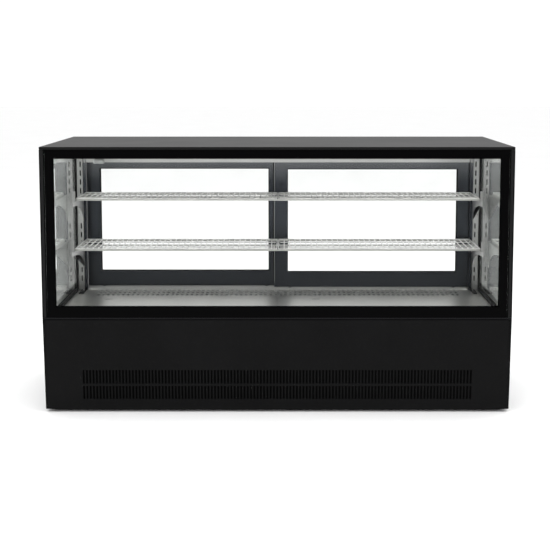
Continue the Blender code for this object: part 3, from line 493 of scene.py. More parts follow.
def add_lathe(bm, profile, place, steps=20):
    """A turned shape from (radius, height) points that begin and end on its axis."""
    rings = []
    for radius, height in profile:
        if radius == 0:
            rings.append([bm.verts.new(place @ Vector((0, 0, height)))])
            continue
        turns = [2 * math.pi * i / steps for i in range(steps)]
        rings.append([bm.verts.new(place @ Vector((*on_circle(radius, turn), height))) for turn in turns])
    for upper, lower in zip(rings, rings[1:]):
        for i in range(steps):
            j = (i + 1) % steps
            corners = [upper[i % len(upper)], upper[j % len(upper)]]
            corners += [lower[j % len(lower)], lower[i % len(lower)]]
            corners = list(dict.fromkeys(corners))
            if len(corners) > 2:
                bm.faces.new(corners)


def add_bands(bm, loops, kinds):
    """Faces between each loop of four corners and the next, with a material for each step."""
    for first, second, kind in zip(loops, loops[1:], kinds):
        for i in range(4):
            j = (i + 1) % 4
            bm.faces.new((first[i], first[j], second[j], second[i])).material_index = kind


def corner_loop(bm, edges, depth, place):
    x0, x1, z0, z1 = edges
    return [bm.verts.new(place(u, depth, v)) for u, v in ((x0, z0), (x1, z0), (x1, z1), (x0, z1))]


def add_ring(bm, outer, inner, profile, place, material=0):
    """A mitred frame round a rectangle.

    Its section is a list of (share of the way from the outer to the inner edge, depth) points.
    """
    loops = []
    for share, depth in profile:
        edges = [a + (b - a) * share for a, b in zip(outer, inner)]
        loops.append(corner_loop(bm, edges, depth, place))
    add_bands(bm, loops + loops[:1], [material] * len(loops))


def facing_front(u, depth, v):
    return Vector((u, depth, v))


def facing_side(u, depth, v):
    return Vector((depth, u, v))


def shrunk(edges, amount):
    """The (low, high, low, high) edges of a rectangle, moved inwards all round."""
    x0, x1, z0, z1 = edges
    return (x0 + amount, x1 - amount, z0 + amount, z1 - amount)


# Order of a sealed unit's materials
GLAZING = {"glass": 0, "border": 1, "edge": 2, "sealant": 3}


def add_glazing(bm, edges, depths, pane, border, place):
    """A sealed unit: two panes' chamfered edges with the sealant sunk between them.

    The border (left, right, low, high) is the printed or sealed strip round the clear glass.
    """
    low, high = depths
    x0, x1, z0, z1 = edges
    left, right, below, above = border
    inner = (x0 + left, x1 - right, z0 + below, z1 - above)
    chamfer = GLASS_CHAMFER
    eased = shrunk(edges, chamfer)
    sunk = shrunk(edges, SEALANT_DEPTH)
    half = [(inner, 0), (eased, 0), (edges, chamfer), (edges, pane - chamfer), (eased, pane)]
    half.append((sunk, pane + chamfer))
    stack = [(outline, low + inset) for outline, inset in half]
    stack += [(outline, high - inset) for outline, inset in reversed(half)]
    kinds = ["border"] + ["edge"] * 3 + ["sealant"] * 3 + ["edge"] * 3 + ["border"]
    loops = [corner_loop(bm, outline, depth, place) for outline, depth in stack]
    add_bands(bm, loops, [GLAZING[kind] for kind in kinds])
    for loop in (loops[0], loops[-1]):
        bm.faces.new(loop).material_index = GLAZING["glass"]


def make_unit(name, node, pane, border, place, finish, spaced=False):
    """The sealed unit for a node of glass; spaced adds the bar that shows between its panes."""
    low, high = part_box(node)
    along, across = (0, 1) if place is facing_front else (1, 0)
    edges = (low[along], high[along], low.z, high.z)
    depths = (low[across], high[across])
    bm = bmesh.new()
    add_glazing(bm, edges, depths, pane, border, place)
    if spaced:
        outer = shrunk(edges, SPACER["inset"])
        near, far = depths[0] + pane, depths[1] - pane
        profile = [(0, near), (1, near), (1, far), (0, far)]
        add_ring(bm, outer, shrunk(outer, SPACER["width"]), profile, place, GLAZING["sealant"])
    stand_in(finished(name, bm, [*finish, EDGE, SEALANT], 20, even=False), node)


def obround(x, y, width, length, steps=5):
    """Outline of a slot with round ends, longest along Y."""
    radius = width / 2
    reach = length / 2 - radius
    points = []
    for sign, start in ((1, 0), (-1, math.pi)):
        for i in range(steps + 1):
            dx, dy = on_circle(radius, start + math.pi * i / steps)
            points.append((x + dx, y + sign * reach + dy))
    return points


def oval(x, y, radii, steps=28):
    turns = [2 * math.pi * i / steps for i in range(steps)]
    return [(x + radii[0] * math.cos(turn), y + radii[1] * math.sin(turn)) for turn in turns]


def rectangle(low_x, high_x, low_y, high_y):
    return [(low_x, low_y), (high_x, low_y), (high_x, high_y), (low_x, high_y)]


def mesh_of(curve):
    """The mesh that a curve makes; the curve is used up."""
    made = added("outline", curve)
    mesh = evaluated_mesh(made)
    bpy.data.objects.remove(made, do_unlink=True)
    bpy.data.curves.remove(curve)
    return mesh


def add_plate(bm, outline, holes, thickness, place, rim=0.0003):
    """Sheet metal with holes, whose edges are all rounded.

    It lies in XY, centred on z = 0, before it is placed.
    """
    curve = bpy.data.curves.new("plate", "CURVE")
    curve.dimensions = "2D"
    curve.fill_mode = "BOTH"
    curve.extrude = thickness / 2 - rim
    curve.bevel_depth = rim
    curve.bevel_resolution = 1
    curve.offset = -rim
    for points in (outline, *holes):
        spline = curve.splines.new("POLY")
        spline.points.add(len(points) - 1)
        for point, (x, y) in zip(spline.points, points):
            point.co = (x, y, 0, 1)
        spline.use_cyclic_u = True
    mesh = mesh_of(curve)
    mesh.transform(place)
    bm.from_mesh(mesh)
    bpy.data.meshes.remove(mesh)
    bmesh.ops.remove_doubles(bm, verts=bm.verts, dist=WELD)


def soften(node, width, material=None, segments=2, steep=35):
    """Stands for a node with the same solid, its flat faces made whole and its steep edges rounded."""
    bm = bmesh.new()
    bm.from_mesh(NODES[node].data)
    bmesh.ops.remove_doubles(bm, verts=bm.verts, dist=2 * WELD)
    bmesh.ops.dissolve_limit(bm, angle_limit=math.radians(0.5), verts=bm.verts, edges=bm.edges)
    inner_edges = [edge for edge in bm.edges if len(edge.link_faces) == 2]
    edges = [edge for edge in inner_edges if edge.calc_face_angle() > math.radians(steep)]
    bmesh.ops.bevel(bm, geom=edges, offset=width, segments=segments, affect="EDGES", clamp_overlap=True)
    piece = finished(f"{node}_body", bm, [material or LOOKS[SLOT_OF[node]]])
    return stand_in(piece, node)


def add_pipe(bm, points, radius):
    """A round pipe along the points."""
    curve = bpy.data.curves.new("pipe", "CURVE")
    curve.dimensions = "3D"
    curve.bevel_depth = radius
    curve.bevel_resolution = 3
    curve.use_fill_caps = True
    spline = curve.splines.new("NURBS")
    spline.points.add(len(points) - 1)
    for point, where in zip(spline.points, points):
        point.co = (*where, 1)
    spline.order_u = 3
    spline.use_endpoint_u = True
    spline.resolution_u = 6
    mesh = mesh_of(curve)
    bm.from_mesh(mesh)
    bpy.data.meshes.remove(mesh)
    bmesh.ops.remove_doubles(bm, verts=bm.verts, dist=WELD)


def row_of(count, pitch, middle=0.0):
    """Places at an even pitch, with the middle of the row at the given place."""
    return [middle + (i - (count - 1) / 2) * pitch for i in range(count)]


# Camera, light and floor


def make_camera():
    """At the height and distance that the photograph was taken from."""
    camera = bpy.data.cameras.new("camera")
    camera.lens = 72.8
    camera.shift_x = -0.0182
    camera.shift_y = -0.16
    made = added("camera", camera)
    made.location = (0.03, -4.54, 1.311)
    made.rotation_euler = (math.radians(90 - 5.83), 0, 0)
    bpy.context.scene.camera = made


def make_studio():
    """A bright sky that fades a little upwards, three soft lights and a pale floor."""
    bpy.context.scene.view_settings.view_transform = "Standard"
    world = bpy.data.worlds.new("studio")
    bpy.context.scene.world = world
    world.use_nodes = True
    tree = world.node_tree
    background = tree.nodes["Background"]
    place = add_node(tree, "TexCoord").outputs["Generated"]
    height = add_node(tree, "SeparateXYZ", {0: place}).outputs["Z"]
    fade = {"Value": height, "From Min": 0.2, "From Max": 1.0, "To Min": 1.0, "To Max": 0.94}
    tree.links.new(add_node(tree, "MapRange", fade).outputs["Result"], background.inputs["Color"])
    background.inputs["Strength"].default_value = 1.1
    middle = Vector((0, 0, 0.5))
    for name, place, size, power in (
        ("overhead", (0.2, -0.4, 4.6), (5.0, 4.0), 150),
        ("left_soft", (-3.4, -2.6, 2.2), (1.6, 2.2), 22),
        ("right_soft", (3.6, -1.4, 1.9), (1.4, 2.0), 14),
    ):
        light = bpy.data.lights.new(name, "AREA")
        light.shape = "RECTANGLE"
        light.size, light.size_y = size
        light.energy = power
        made = added(name, light)
        made.location = place
        made.rotation_euler = (middle - Vector(place)).to_track_quat("-Z", "Y").to_euler()
    bm = bmesh.new()
    bmesh.ops.create_grid(bm, x_segments=1, y_segments=1, size=40)
    look = Look("floor", (0.93, 0.93, 0.93), 0.75, Specular_IOR_Level=0.2)
    look.shades(look.noise(1.5), 0.01)
    finished("floor", bm, [look.material], even=False)


# Top, glass and their seals


def make_top():
    low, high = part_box("top_panel")
    stand_in(block("top_cover", low, high, LOOKS["satin_black_top"], 0.0016, 3), "top_panel")


def make_case_glass():
    border = (FRIT["side"], FRIT["side"], FRIT["low"], FRIT["high"])
    make_unit("front_glass_unit", "front_glass", PANE, border, facing_front, PRINTED_GLASS)
    rim = (SIDE_RIM,) * 4
    for side in SIDES:
        node = f"side_glass_{side}"
        make_unit(f"{node}_unit", node, PANE, rim, facing_side, (COATED_GLASS, EDGE), spaced=True)


def make_seals():
    soften("glass_gasket", 0.0012, segments=3)
    soften("base_trim", 0.0007, TRIM_BLACK)


# Lower shell


def make_front_panel():
    """Raked sheet with rows of pressed louvres, an upper flange, end returns and a black filter mat behind
    it. The mat and the near-black blades paint the shade seen through the louvres.

    It is drawn in its own plane: x along the case, y up the slope, z out of the sheet.
    """
    low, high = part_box("front_panel")
    foot = Vector((0, high.y - PANEL_DEPTH, low.z))
    head = Vector((0, low.y, high.z))
    length = (head - foot).length
    along = Vector((1, 0, 0))
    slope = (head - foot).normalized()
    out = along.cross(slope)
    turn = Matrix((along, slope, out)).transposed().to_4x4()
    place = shift(*(foot - out * PANEL_DEPTH / 2)) @ turn
    per_height = length / (head.z - foot.z)
    rows = [[(height - low.z) * per_height for height in heights] for heights in LOUVRE_ROWS]
    holes = []
    blades = bmesh.new()
    for start, end in rows:
        for x in row_of(LOUVRE_COUNT, LOUVRE_PITCH):
            holes.append(obround(x, (start + end) / 2, LOUVRE_WIDTH, end - start, 4))
            add_blade(blades, place, turn, x, start, end)
    bm = bmesh.new()
    outline = rectangle(low.x, high.x, 0, length)
    add_plate(bm, outline, holes, PANEL_SHEET, place @ shift(0, 0, 0.0005))
    sheet, depth, middle = PANEL_FOLD["sheet"], PANEL_FOLD["depth"], PANEL_FOLD["middle"]
    ends = (low.x + 0.0012, high.x - 0.0012)
    folds = [((x, length / 2, middle), (sheet, length - 0.002, depth)) for x in ends]
    folds.append(((0, length - 0.0015, middle), (high.x - low.x - 0.004, sheet, depth)))
    for centre, size in folds:
        shape = shift(*centre) @ Matrix.Diagonal((*size, 1))
        bmesh.ops.create_cube(bm, size=1, matrix=place @ shape)
    stand_in(finished("front_panel_sheet", bm, [LOOKS["black_steel"]]), "front_panel")
    # The blades take the near-black slot shade finish, which paints the shade inside the louvres.
    mount(finished("front_louvre_blades", blades, [SLOT_SHADE], even=False))
    reach = LOUVRE_COUNT * LOUVRE_PITCH / 2
    bottom, top = rows[0][0] - SHADE_FILTER["margin"], rows[-1][1] + SHADE_FILTER["margin"]
    back, front = SHADE_FILTER["z"]
    bm = bmesh.new()
    add_block(bm, (-reach, bottom, back), (reach, top, front), 0.0006)
    bm.transform(place)
    mount(finished("louvre_shade_filter", bm, [SHADE_FILTER_FOAM]))


def add_blade(bm, place, turn, x, start, end):
    """One louvre's tongue, bent inwards along the left edge of its hole."""
    gap = BLADE["end_gap"]
    hinge = place @ Vector((x - LOUVRE_WIDTH / 2 - 0.0002, start + gap, -0.001))
    bend = Matrix.Rotation(math.radians(BLADE["turn"]), 4, "Y")
    middle = shift(BLADE["width"] / 2, (end - start) / 2 - gap, 0)
    size = Matrix.Diagonal((BLADE["width"], end - start - 2 * gap, BLADE["thickness"], 1))
    bmesh.ops.create_cube(bm, size=1, matrix=shift(*hinge) @ turn @ bend @ middle @ size)


def make_rear_panel():
    """Service sheet with louvres under pressed hoods, holes for the controls and the gland, and screws."""
    low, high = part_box("rear_panel")
    plate_low, plate_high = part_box("temperature_controller")
    gland_low, gland_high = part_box("cable_gland")
    bottom, top = REAR_LOUVRES["z"]
    middle = (bottom + top) / 2
    width = REAR_LOUVRES["width"]
    places = row_of(REAR_LOUVRES["count"], REAR_LOUVRES["pitch"], REAR_LOUVRES["x"])
    holes = [obround(x, middle, width, top - bottom) for x in places]
    holes.append(rectangle(*shrunk((plate_low.x, plate_high.x, plate_low.z, plate_high.z), 0.003)))
    gland = (gland_low + gland_high) / 2
    holes.append(oval(gland.x, gland.z, (0.0085, 0.0085), 20))
    upright = shift(0, high.y - PANEL_SHEET / 2, 0) @ TOWARDS["-Y"]
    bm = bmesh.new()
    add_plate(bm, rectangle(low.x, high.x, low.z, high.z), holes, PANEL_SHEET, upright)
    for x in places:
        hood = shift(x + width * 0.45, high.y, middle) @ Matrix.Diagonal((1, 0.62, 1, 1))
        half = (top - bottom) / 2 + 0.003
        profile = [(0, half), (0.003, half - 0.003), (0.005, half - 0.01)]
        profile += [(radius, -height) for radius, height in reversed(profile)]
        add_lathe(bm, profile, hood, 12)
    stand_in(finished("rear_panel_sheet", bm, [LOOKS["black_steel"]]), "rear_panel")
    screws = [(x, high.y, z) for z in (low.z + 0.014, high.z - 0.014) for x in row_of(6, 0.345)]
    make_screws("rear_panel_screws", screws, "Y", 0.0042)
    level = (plate_low.z + plate_high.z) / 2
    fixings = [(x, plate_high.y - 0.0002, level) for x in (plate_low.x + 0.008, plate_high.x - 0.008)]
    make_screws("controller_screws", fixings, "Y", 0.0028)


def make_screws(name, places, towards, radius, body=CABINET):
    """Domed screw heads with a recess in the middle."""
    bm = bmesh.new()
    dome = radius * 0.55
    profile = [(0, dome * 0.45), (radius * 0.3, dome * 0.5), (radius * 0.34, dome)]
    profile += [(radius * 0.7, dome * 0.82), (radius, dome * 0.25), (radius, -0.0002), (0, -0.0002)]
    for place in places:
        add_lathe(bm, profile, shift(*place) @ TOWARDS[towards], 16)
    return mount(finished(name, bm, [SCREW_METAL], 40, even=False), body)


def make_lower_shell():
    make_front_panel()
    make_rear_panel()
    for side in SIDES:
        soften(f"side_panel_{side}", 0.001, segments=3)
    soften("base_frame", 0.0006)
    soften("insulated_tub", 0.001)


# Rear frame and doors


def make_rear_frame():
    """Header, sill and posts. The posts' inner side, where the doors run, is dark, with a cover strip."""
    dark = LOOKS["dark_aluminium"]
    soften("rear_header", 0.0005, TOP_RAIL)
    soften("door_sill_track", 0.0004)
    strip_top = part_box("rear_header")[0].z - 0.0004
    for side, sign in SIDES.items():
        node = f"rear_post_{side}"
        low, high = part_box(node)
        post = soften(node, 0.0006, BRUSHED_UP)
        post.data.materials.append(dark)
        channel_end = min(abs(low.x), abs(high.x)) + POST_CHANNEL
        for face in post.data.polygons:
            if abs(face.center.x) < channel_end:
                face.material_index = 1
        heights = (low.z + 0.03, (low.z + high.z) / 2, high.z - 0.03)
        make_screws(f"{node}_screws", [(sign * POST_SCREW_X, high.y, z) for z in heights], "Y", 0.0035)
        inner, outer = sorted(sign * x for x in POST_COVER["x"])
        front = low.y - POST_COVER["thickness"]
        strip = block(
            f"{node}_cover", (inner, front, low.z + 0.003), (outer, low.y - 0.0001, strip_top), dark, 0.0004
        )
        mount(strip)


def rounded_stile(half, radius, bead, groove):
    """Section of a door rail, from its outer edge to the window, front face first.

    A groove runs round it where the glazing bead begins, at that share of its width.
    """
    points = [(0.0, -half + radius), (radius * 5, -half + radius * 0.3), (radius * 17, -half)]
    points += [(bead, -half), (bead + 0.006, -half + groove), (bead + 0.02, -half + groove)]
    points += [(bead + 0.026, -half), (0.975, -half), (0.993, -half + radius * 0.3), (1.0, -half + radius)]
    return points + [(share, -depth) for share, depth in reversed(points)]


def make_doors():
    """Mitred frames with a pull and roller pockets cut into them, sealed units, beads and seals."""
    for side in SIDES:
        body = f"{side}_door"
        low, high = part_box(f"{body}_frame")
        glass_low, glass_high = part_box(f"{body}_glass")
        middle = (low.y + high.y) / 2
        half = (high.y - low.y) / 2
        outer = (low.x, high.x, low.z, high.z)
        edges = (glass_low.x, glass_high.x, glass_low.z, glass_high.z)
        window = shrunk(edges, -0.0003)
        section = [(share, middle + y) for share, y in rounded_stile(half, 0.0012, 0.8, 0.0012)]
        bm = bmesh.new()
        add_ring(bm, outer, window, section, facing_front)
        rails = finished(f"{body}_rails", bm, [LOOKS["dark_aluminium"]])
        cut_pull(rails, side)
        cut_roller_pockets(rails, side)
        stand_in(rails, f"{body}_frame")
        rim = (DOOR_RIM,) * 4
        make_unit(f"{body}_unit", f"{body}_glass", DOOR_PANE, rim, facing_front, PRINTED_GLASS)
        bm = bmesh.new()
        gap, reach = DOOR_BEAD
        front, rear = glass_low.y, glass_high.y
        for near, far in ((front - reach, front - gap), (rear + gap, rear + reach)):
            bead = [(0.0, near), (0.5, near), (1.0, (near + far) / 2), (1.0, far), (0.0, far)]
            add_ring(bm, shrunk(window, 0.0001), shrunk(window, 0.0035), bead, facing_front)
        mount(finished(f"{body}_beads", bm, [LOOKS["gasket_rubber"]], 30), body)
        make_corner_joints(outer, window, (low.y, high.y), body)
        make_door_seals(side, low, high, body)


def cut_away(piece, bm):
    """Takes the solids of the bmesh out of the piece."""
    mesh = bpy.data.meshes.new("cutter")
    bmesh.ops.recalc_face_normals(bm, faces=bm.faces)
    bm.to_mesh(mesh)
    bm.free()
    cutter = added("cutter", mesh)
    modifier = piece.modifiers.new("cut", "BOOLEAN")
    modifier.operation = "DIFFERENCE"
    modifier.object = cutter
    piece.data = evaluated_mesh(piece)
    piece.modifiers.clear()
    piece.data.set_sharp_from_angle(angle=math.radians(50))
    even_normals(piece)
    bpy.data.objects.remove(cutter, do_unlink=True)


def cut_pull(piece, side):
    """Recess for the fingers in the rear face of the outer stile."""
    low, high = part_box(f"{side}_door_frame")
    glass_low, glass_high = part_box(f"{side}_door_glass")
    stile = (low.x, glass_low.x) if side == "left" else (high.x, glass_high.x)
    centre = Vector((sum(stile) / 2, high.y, (glass_low.z + glass_high.z) / 2))
    half = Vector(PULL_HALF)
    bm = bmesh.new()
    add_block(bm, centre - half, centre + half, 0.0035, 4)
    cut_away(piece, bm)


def cut_roller_pockets(piece, side):
    bm = bmesh.new()
    for end in ("inner", "outer"):
        low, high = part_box(f"{side}_door_roller_{end}")
        margin = Vector(ROLLER_MARGIN)
        add_block(bm, low - margin - Vector((0, 0, ROLLER_DROP)), high + margin)
    cut_away(piece, bm)


def make_corner_joints(outer, window, depths, body):
    """Hairline mitres of the door rails, as thin dark keys just proud of both faces."""
    bm = bmesh.new()
    for x_out, x_in in ((outer[0], window[0]), (outer[1], window[1])):
        for z_out, z_in in ((outer[2], window[2]), (outer[3], window[3])):
            for y in depths:
                start = Vector((x_out, y, z_out))
                end = Vector((x_in, y, z_in))
                run = (end - start).normalized()
                add_rod(bm, start + run * 0.004, end - run * 0.005, 0.00018, 6, 0)
    mount(finished(f"{body}_mitres", bm, [EDGE], even=False), body)


def make_door_seals(side, low, high, body):
    """Pile seal up the inner stile, in the gap between the doors, and a strip where they meet: black on the
    left door, a painted shadow line, and light aluminium on the right door, a painted highlight along its
    edge.
    """
    near, far = PILE_SEAL["inset"], PILE_SEAL["inset"] + PILE_SEAL["width"]
    depth = PILE_SEAL["depth"]
    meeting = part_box("right_door_frame")[0].x
    if side == "left":
        # On the left door the black strip is a painted shadow line beside the right door's edge.
        pile_x, pile_y = (high.x - far, high.x - near), (low.y - depth, low.y)
        strip_x, front, look = (meeting - 0.006, meeting - 0.002), low.y - 0.002, "gasket_rubber"
    else:
        # On the right door the light aluminium strip is a painted highlight along its edge.
        pile_x, pile_y = (low.x + near, low.x + far), (high.y, high.y + depth)
        strip_x, front, look = (meeting + 0.0003, meeting + 0.0015), low.y - 0.0005, "aluminium"
    bottom, top = low.z + STRIP_ENDS[0], high.z - STRIP_ENDS[1]
    for name, x, y, slot, radius in (
        ("pile_seal", pile_x, pile_y, "gasket_rubber", 0.0008),
        ("meeting_shade_and_highlight_strip", strip_x, (front, low.y + 0.0002), look, 0.0002),
    ):
        piece = block(f"{body}_{name}", (x[0], y[0], bottom), (x[1], y[1], top), LOOKS[slot], radius)
        mount(piece, body)


def make_door_rollers():
    """Grooved nylon rollers on small axles."""
    for side in SIDES:
        for end in ("inner", "outer"):
            node = f"{side}_door_roller_{end}"
            low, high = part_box(node)
            centre = (low + high) / 2
            radius = (high.z - low.z) / 2
            half = (high.y - low.y) / 2
            profile = [(0, half), (0.003, half), (0.0034, half * 0.7), (radius * 0.8, half * 0.7)]
            profile += [(radius * 0.84, half), (radius * 0.97, half), (radius, half * 0.8)]
            profile += [(at, -height) for at, height in reversed(profile)]
            bm = bmesh.new()
            add_lathe(bm, profile, shift(*centre) @ TOWARDS["Y"], 28)
            stand_in(finished(f"{node}_wheel", bm, [LOOKS["fan_plastic"]], 35), node)


# Shelving


def make_pilasters():
    """Folded channel with a column of round-ended slots, and a near-black sheet behind them that paints the
    shade inside the channel.
    """
    wall = PILASTER_WALL
    for side, sign in SIDES.items():
        node = f"pilaster_{side}"
        low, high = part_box(node)
        slots = PILASTER_SLOTS
        heights = [slots["lowest"] + i * slots["pitch"] for i in range(slots["count"])]
        holes = [obround(sign * slots["x"], z, *slots["size"]) for z in heights]
        upright = shift(0, low.y + wall / 2, 0) @ TOWARDS["-Y"]
        bm = bmesh.new()
        add_plate(bm, rectangle(low.x, high.x, low.z, high.z), holes, wall, upright, 0.0004)
        for x in (low.x, high.x - wall):
            add_block(bm, (x, low.y + wall * 0.5, low.z), (x + wall, high.y, high.z), 0.0003, 1)
        # A near-black sheet inside the channel paints the shade seen through the slots.
        inset = Vector((wall + 0.0004, 0, 0.004))
        shade_sheet_low = Vector((low.x, high.y - 0.0022, low.z)) + inset
        shade_sheet_high = Vector((high.x, high.y - 0.0008, high.z)) - inset
        add_block(bm, shade_sheet_low, shade_sheet_high, 0.0003, 1, material=1)
        stand_in(finished(f"{node}_channel", bm, [BRUSHED_UP, SLOT_SHADE]), node)
        screws = [(sign * PILASTER_SCREWS["x"], low.y, z) for z in PILASTER_SCREWS["z"]]
        make_screws(f"{node}_screws", screws, "-Y", 0.0026)


def make_brackets():
    for level in LEVELS:
        for side in SIDES:
            soften(f"bracket_{level}_{side}", 0.0004, BRUSHED_UP)


def make_wire_racks():
    """Round wires from front to back, welded to a rod at each end and two cross rods below."""
    for level in LEVELS:
        for side in SIDES:
            node = f"wire_rack_{level}_{side}"
            low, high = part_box(node)
            radius = (high.z - low.z) / 2
            middle = (low.z + high.z) / 2
            first, last = low.x + radius, high.x - radius
            count = round((last - first) / WIRE_PITCH)
            pitch = (last - first) / count
            bm = bmesh.new()
            for i in range(count + 1):
                x = first + i * pitch
                add_rod(bm, (x, low.y, middle), (x, high.y, middle), radius)
            for y in (low.y + radius, high.y - radius):
                add_rod(bm, (first, y, middle), (last, y, middle), radius * 0.96)
            below = low.z - radius * 0.55
            for share in (0.26, 0.74):
                y = low.y + (high.y - low.y) * share
                add_rod(bm, (low.x + 0.008, y, below), (high.x - 0.008, y, below), radius * 0.9)
            stand_in(finished(f"{node}_wires", bm, [LOOKS["chrome_wire"]], 60, even=False), node)
        soften(f"shelf_frame_{level}", 0.0009)


# Deck


def make_deck_pans():
    """Sheet with a finger hole, and lips turned down at the rear and where the pans meet."""
    sheet = PAN_SHEET
    for side, sign in SIDES.items():
        node = f"deck_pan_{side}"
        low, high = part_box(node)
        hole = oval(low.x + FINGER_HOLE["inset"], FINGER_HOLE["y"], FINGER_HOLE["radii"])
        level = shift(0, 0, high.z - sheet / 2)
        bm = bmesh.new()
        add_plate(bm, rectangle(low.x, high.x, low.y, high.y), [hole], sheet, level, 0.0006)
        inner = low.x if sign > 0 else high.x - sheet
        start, end = (low.x + 0.001, PAN_LIP_END) if sign > 0 else (-PAN_LIP_END, high.x - 0.001)
        lip_top = high.z - 0.0004
        add_block(bm, (start, high.y - sheet, low.z), (end, high.y, lip_top), 0.0005)
        add_block(bm, (inner, PAN_FRONT, low.z), (inner + sheet, high.y - 0.0006, lip_top), 0.0005)
        stand_in(finished(f"{node}_sheet", bm, [LOOKS["stainless"]]), node)


def make_rear_grille():
    """Perforated sheet, notched round the posts, with a rubber pad on each end."""
    node = "rear_air_grille"
    low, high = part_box(node)
    columns = row_of(GRILLE["count"], GRILLE["pitch"])
    holes = [obround(x, y, *GRILLE["hole"]) for x in columns for y in GRILLE["rows"]]
    notch_x, notch_y = GRILLE_NOTCH["x"], GRILLE_NOTCH["y"]
    right = [(high.x, low.y), (high.x, notch_y), (notch_x, notch_y), (notch_x, high.y)]
    outline = right + [(-x, y) for x, y in reversed(right)]
    level = shift(0, 0, (low.z + high.z) / 2)
    bm = bmesh.new()
    add_plate(bm, outline, holes, high.z - low.z, level, 0.0005)
    stand_in(finished("rear_air_grille_sheet", bm, [LOOKS["stainless"]]), node)
    front, back = END_PAD["y"]
    pad_top = high.z + END_PAD["height"]
    screw_x, screw_y = END_PAD["screw"]
    for side, sign in SIDES.items():
        name = f"grille_end_pad_{side}"
        inner, outer = sorted(sign * x for x in END_PAD["x"])
        pad_low = (inner, front, high.z + 0.0001)
        pad = block(name, pad_low, (outer, back, pad_top), LOOKS["gasket_rubber"], 0.0012)
        mount(pad, node)
        make_screws(f"{name}_screw", [(sign * screw_x, screw_y, pad_top)], "Z", 0.0034, node)


# Light, probe and controls


def make_light():
    soften("led_housing", 0.0005)
    low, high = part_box("led_diffuser")
    stand_in(block("led_diffuser_lens", low, high, LOOKS["diffuser_white"], 0.0018, 3), "led_diffuser")


def make_probe():
    """Rounded cover with vents cut into its front."""
    low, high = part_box("temperature_probe")
    cover = block("temperature_probe_cover", low, high, LOOKS["probe_grey"], 0.006, 5, 60)
    middle = (low + high) / 2
    half_width, half_height = 0.0009, 0.005
    vents = bmesh.new()
    for x in row_of(5, 0.006, middle.x):
        vent_low = (x - half_width, low.y - 0.002, middle.z - half_height)
        add_block(vents, vent_low, (x + half_width, low.y + 0.0012, middle.z + half_height))
    cut_away(cover, vents)
    stand_in(cover, "temperature_probe")


def make_controls():
    """Controller with its display, two keys with arrows, and the light switch."""
    soften("temperature_controller", 0.0005)
    low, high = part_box("temperature_controller")
    middle = (low.z + high.z) / 2
    start, end = DISPLAY_X
    lens_low = (start, high.y - 0.0008, middle - DISPLAY_HALF_HEIGHT)
    lens_high = (end, high.y + 0.0002, middle + DISPLAY_HALF_HEIGHT)
    mount(block("display_lens", lens_low, lens_high, DISPLAY, 0.0003))
    for name, sign in (("key_up", 1), ("key_down", -1)):
        low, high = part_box(name)
        stand_in(block(f"{name}_cap", low, high, LOOKS["key_grey"], 0.0009, 3), name)
        centre = (low + high) / 2
        place = shift(centre.x, high.y, centre.z) @ TOWARDS["Y"]
        turn = Matrix.Rotation(math.pi / 2 * -sign, 4, "Z")
        size = {"radius1": 0.002, "radius2": 0.0018, "depth": 0.0004}
        bm = bmesh.new()
        bmesh.ops.create_cone(bm, cap_ends=True, segments=3, matrix=place @ turn, **size)
        mount(finished(f"{name}_arrow", bm, [WHITE_MARK], even=False), name)
    soften("light_switch", 0.0006)


def make_cable_gland():
    """Six-sided nut on a stem, under a domed crown."""
    low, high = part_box("cable_gland")
    centre = (low + high) / 2
    face = shift(centre.x, GLAND_FACE, centre.z) @ TOWARDS["Y"]
    nut, crown = GLAND_NUT, high.y - GLAND_FACE
    hexagon = [(0, 0.006), (nut - 0.001, 0.006), (nut, 0.0052), (nut, 0.0), (0, 0.0)]
    dome = [(0, crown), (0.005, crown), (0.0066, crown - 0.0004)]
    dome += [(0.0092, 0.008), (0.0098, 0.0061), (0, 0.0059)]
    stem = [(0, 0.0001), (0.0079, 0.0001), (0.0079, -0.0115), (0, -0.0115)]
    bm = bmesh.new()
    for profile, steps in ((hexagon, 6), (dome, 24), (stem, 20)):
        add_lathe(bm, profile, face, steps)
    stand_in(finished("cable_gland_nut", bm, [LOOKS["control_plastic"]], 40), "cable_gland")


# Machinery


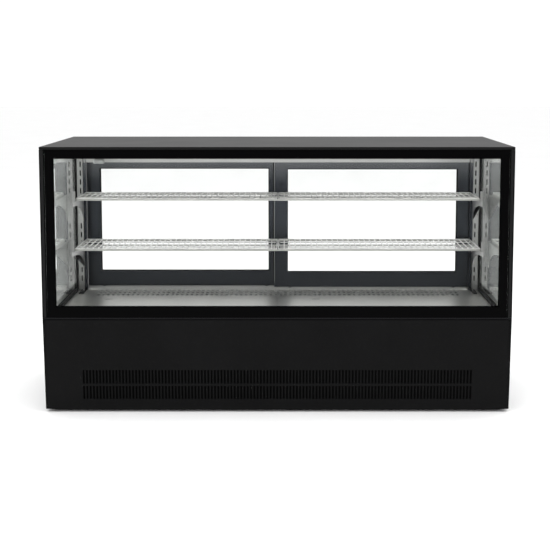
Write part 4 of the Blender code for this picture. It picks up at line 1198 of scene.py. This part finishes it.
def make_machinery():
    """The condensing unit and the evaporator."""
    low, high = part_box("condenser_coil")
    soften("condenser_coil", 0.0004)
    bm = bmesh.new()
    half = FINS["thickness"] / 2
    bottom, top = low.z + 0.012, high.z - 0.012
    for x in row_of(FINS["count"], FINS["pitch"], (low.x + high.x) / 2):
        add_block(bm, (x - half, low.y - 0.003, bottom), (x + half, low.y + 0.002, top))
    start, end, y = low.x + 0.001, high.x - 0.001, low.y - 0.0015
    for z in row_of(COIL_TUBES["count"], COIL_TUBES["pitch"], (low.z + high.z) / 2):
        add_rod(bm, (start, y, z), (end, y, z), COIL_TUBES["radius"], material=1)
    finish = [LOOKS["fin_aluminium"], LOOKS["copper"]]
    mount(finished("condenser_fins", bm, finish, even=False))
    soften("condensate_tray", 0.0006)
    soften("evaporator_fan_housing", 0.0004)
    soften("evaporator_coil", 0.0006)
    for node in ("compressor", "refrigerant_line", "condenser_fan"):
        dress(node)
    for side in SIDES:
        dress(f"evaporator_fan_{side}")
    low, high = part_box("compressor")
    centre = (low + high) / 2
    arc = []
    for i in range(BAND["points"]):
        dx, dy = on_circle(BAND["radius"], i * BAND["step"])
        arc.append((centre.x + dx, centre.y + dy, BAND["height"]))
    bm = bmesh.new()
    add_pipe(bm, arc, BAND["wire"])
    mount(finished("compressor_band", bm, [LOOKS["gasket_rubber"]], even=False))


def dress(node):
    """A CAD node that stays as packed takes its finish and smooth shading."""
    data = NODES[node].data
    data.materials.clear()
    data.materials.append(LOOKS[SLOT_OF[node]])
    data.shade_smooth()
    data.set_sharp_from_angle(angle=math.radians(40))


def make_feet():
    """Threaded stem on a round pad."""
    for end in ("front", "rear"):
        for side in SIDES:
            node = f"levelling_foot_{end}_{side}"
            low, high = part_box(node)
            centre = (low + high) / 2
            stem, pitch = STEM["radius"], STEM["pitch"]
            profile = [(0, high.z), (stem - 0.001, high.z)]
            for i in range(STEM["turns"]):
                z = high.z - 0.001 - i * pitch
                profile += [(stem, z), (stem - STEM["depth"], z - pitch / 2)]
            profile += [(stem, 0.0066), *FOOT_PAD, (0, 0.0)]
            bm = bmesh.new()
            add_lathe(bm, profile, shift(centre.x, centre.y, 0), 24)
            stand_in(finished(f"{node}_screw", bm, [LOOKS["galvanised"]], 30), node)


make_camera()
make_studio()
make_top()
make_case_glass()
make_seals()
make_lower_shell()
make_rear_frame()
make_doors()
make_door_rollers()
make_pilasters()
make_brackets()
make_wire_racks()
make_deck_pans()
make_rear_grille()
make_light()
make_probe()
make_controls()
make_cable_gland()
make_machinery()
make_feet()
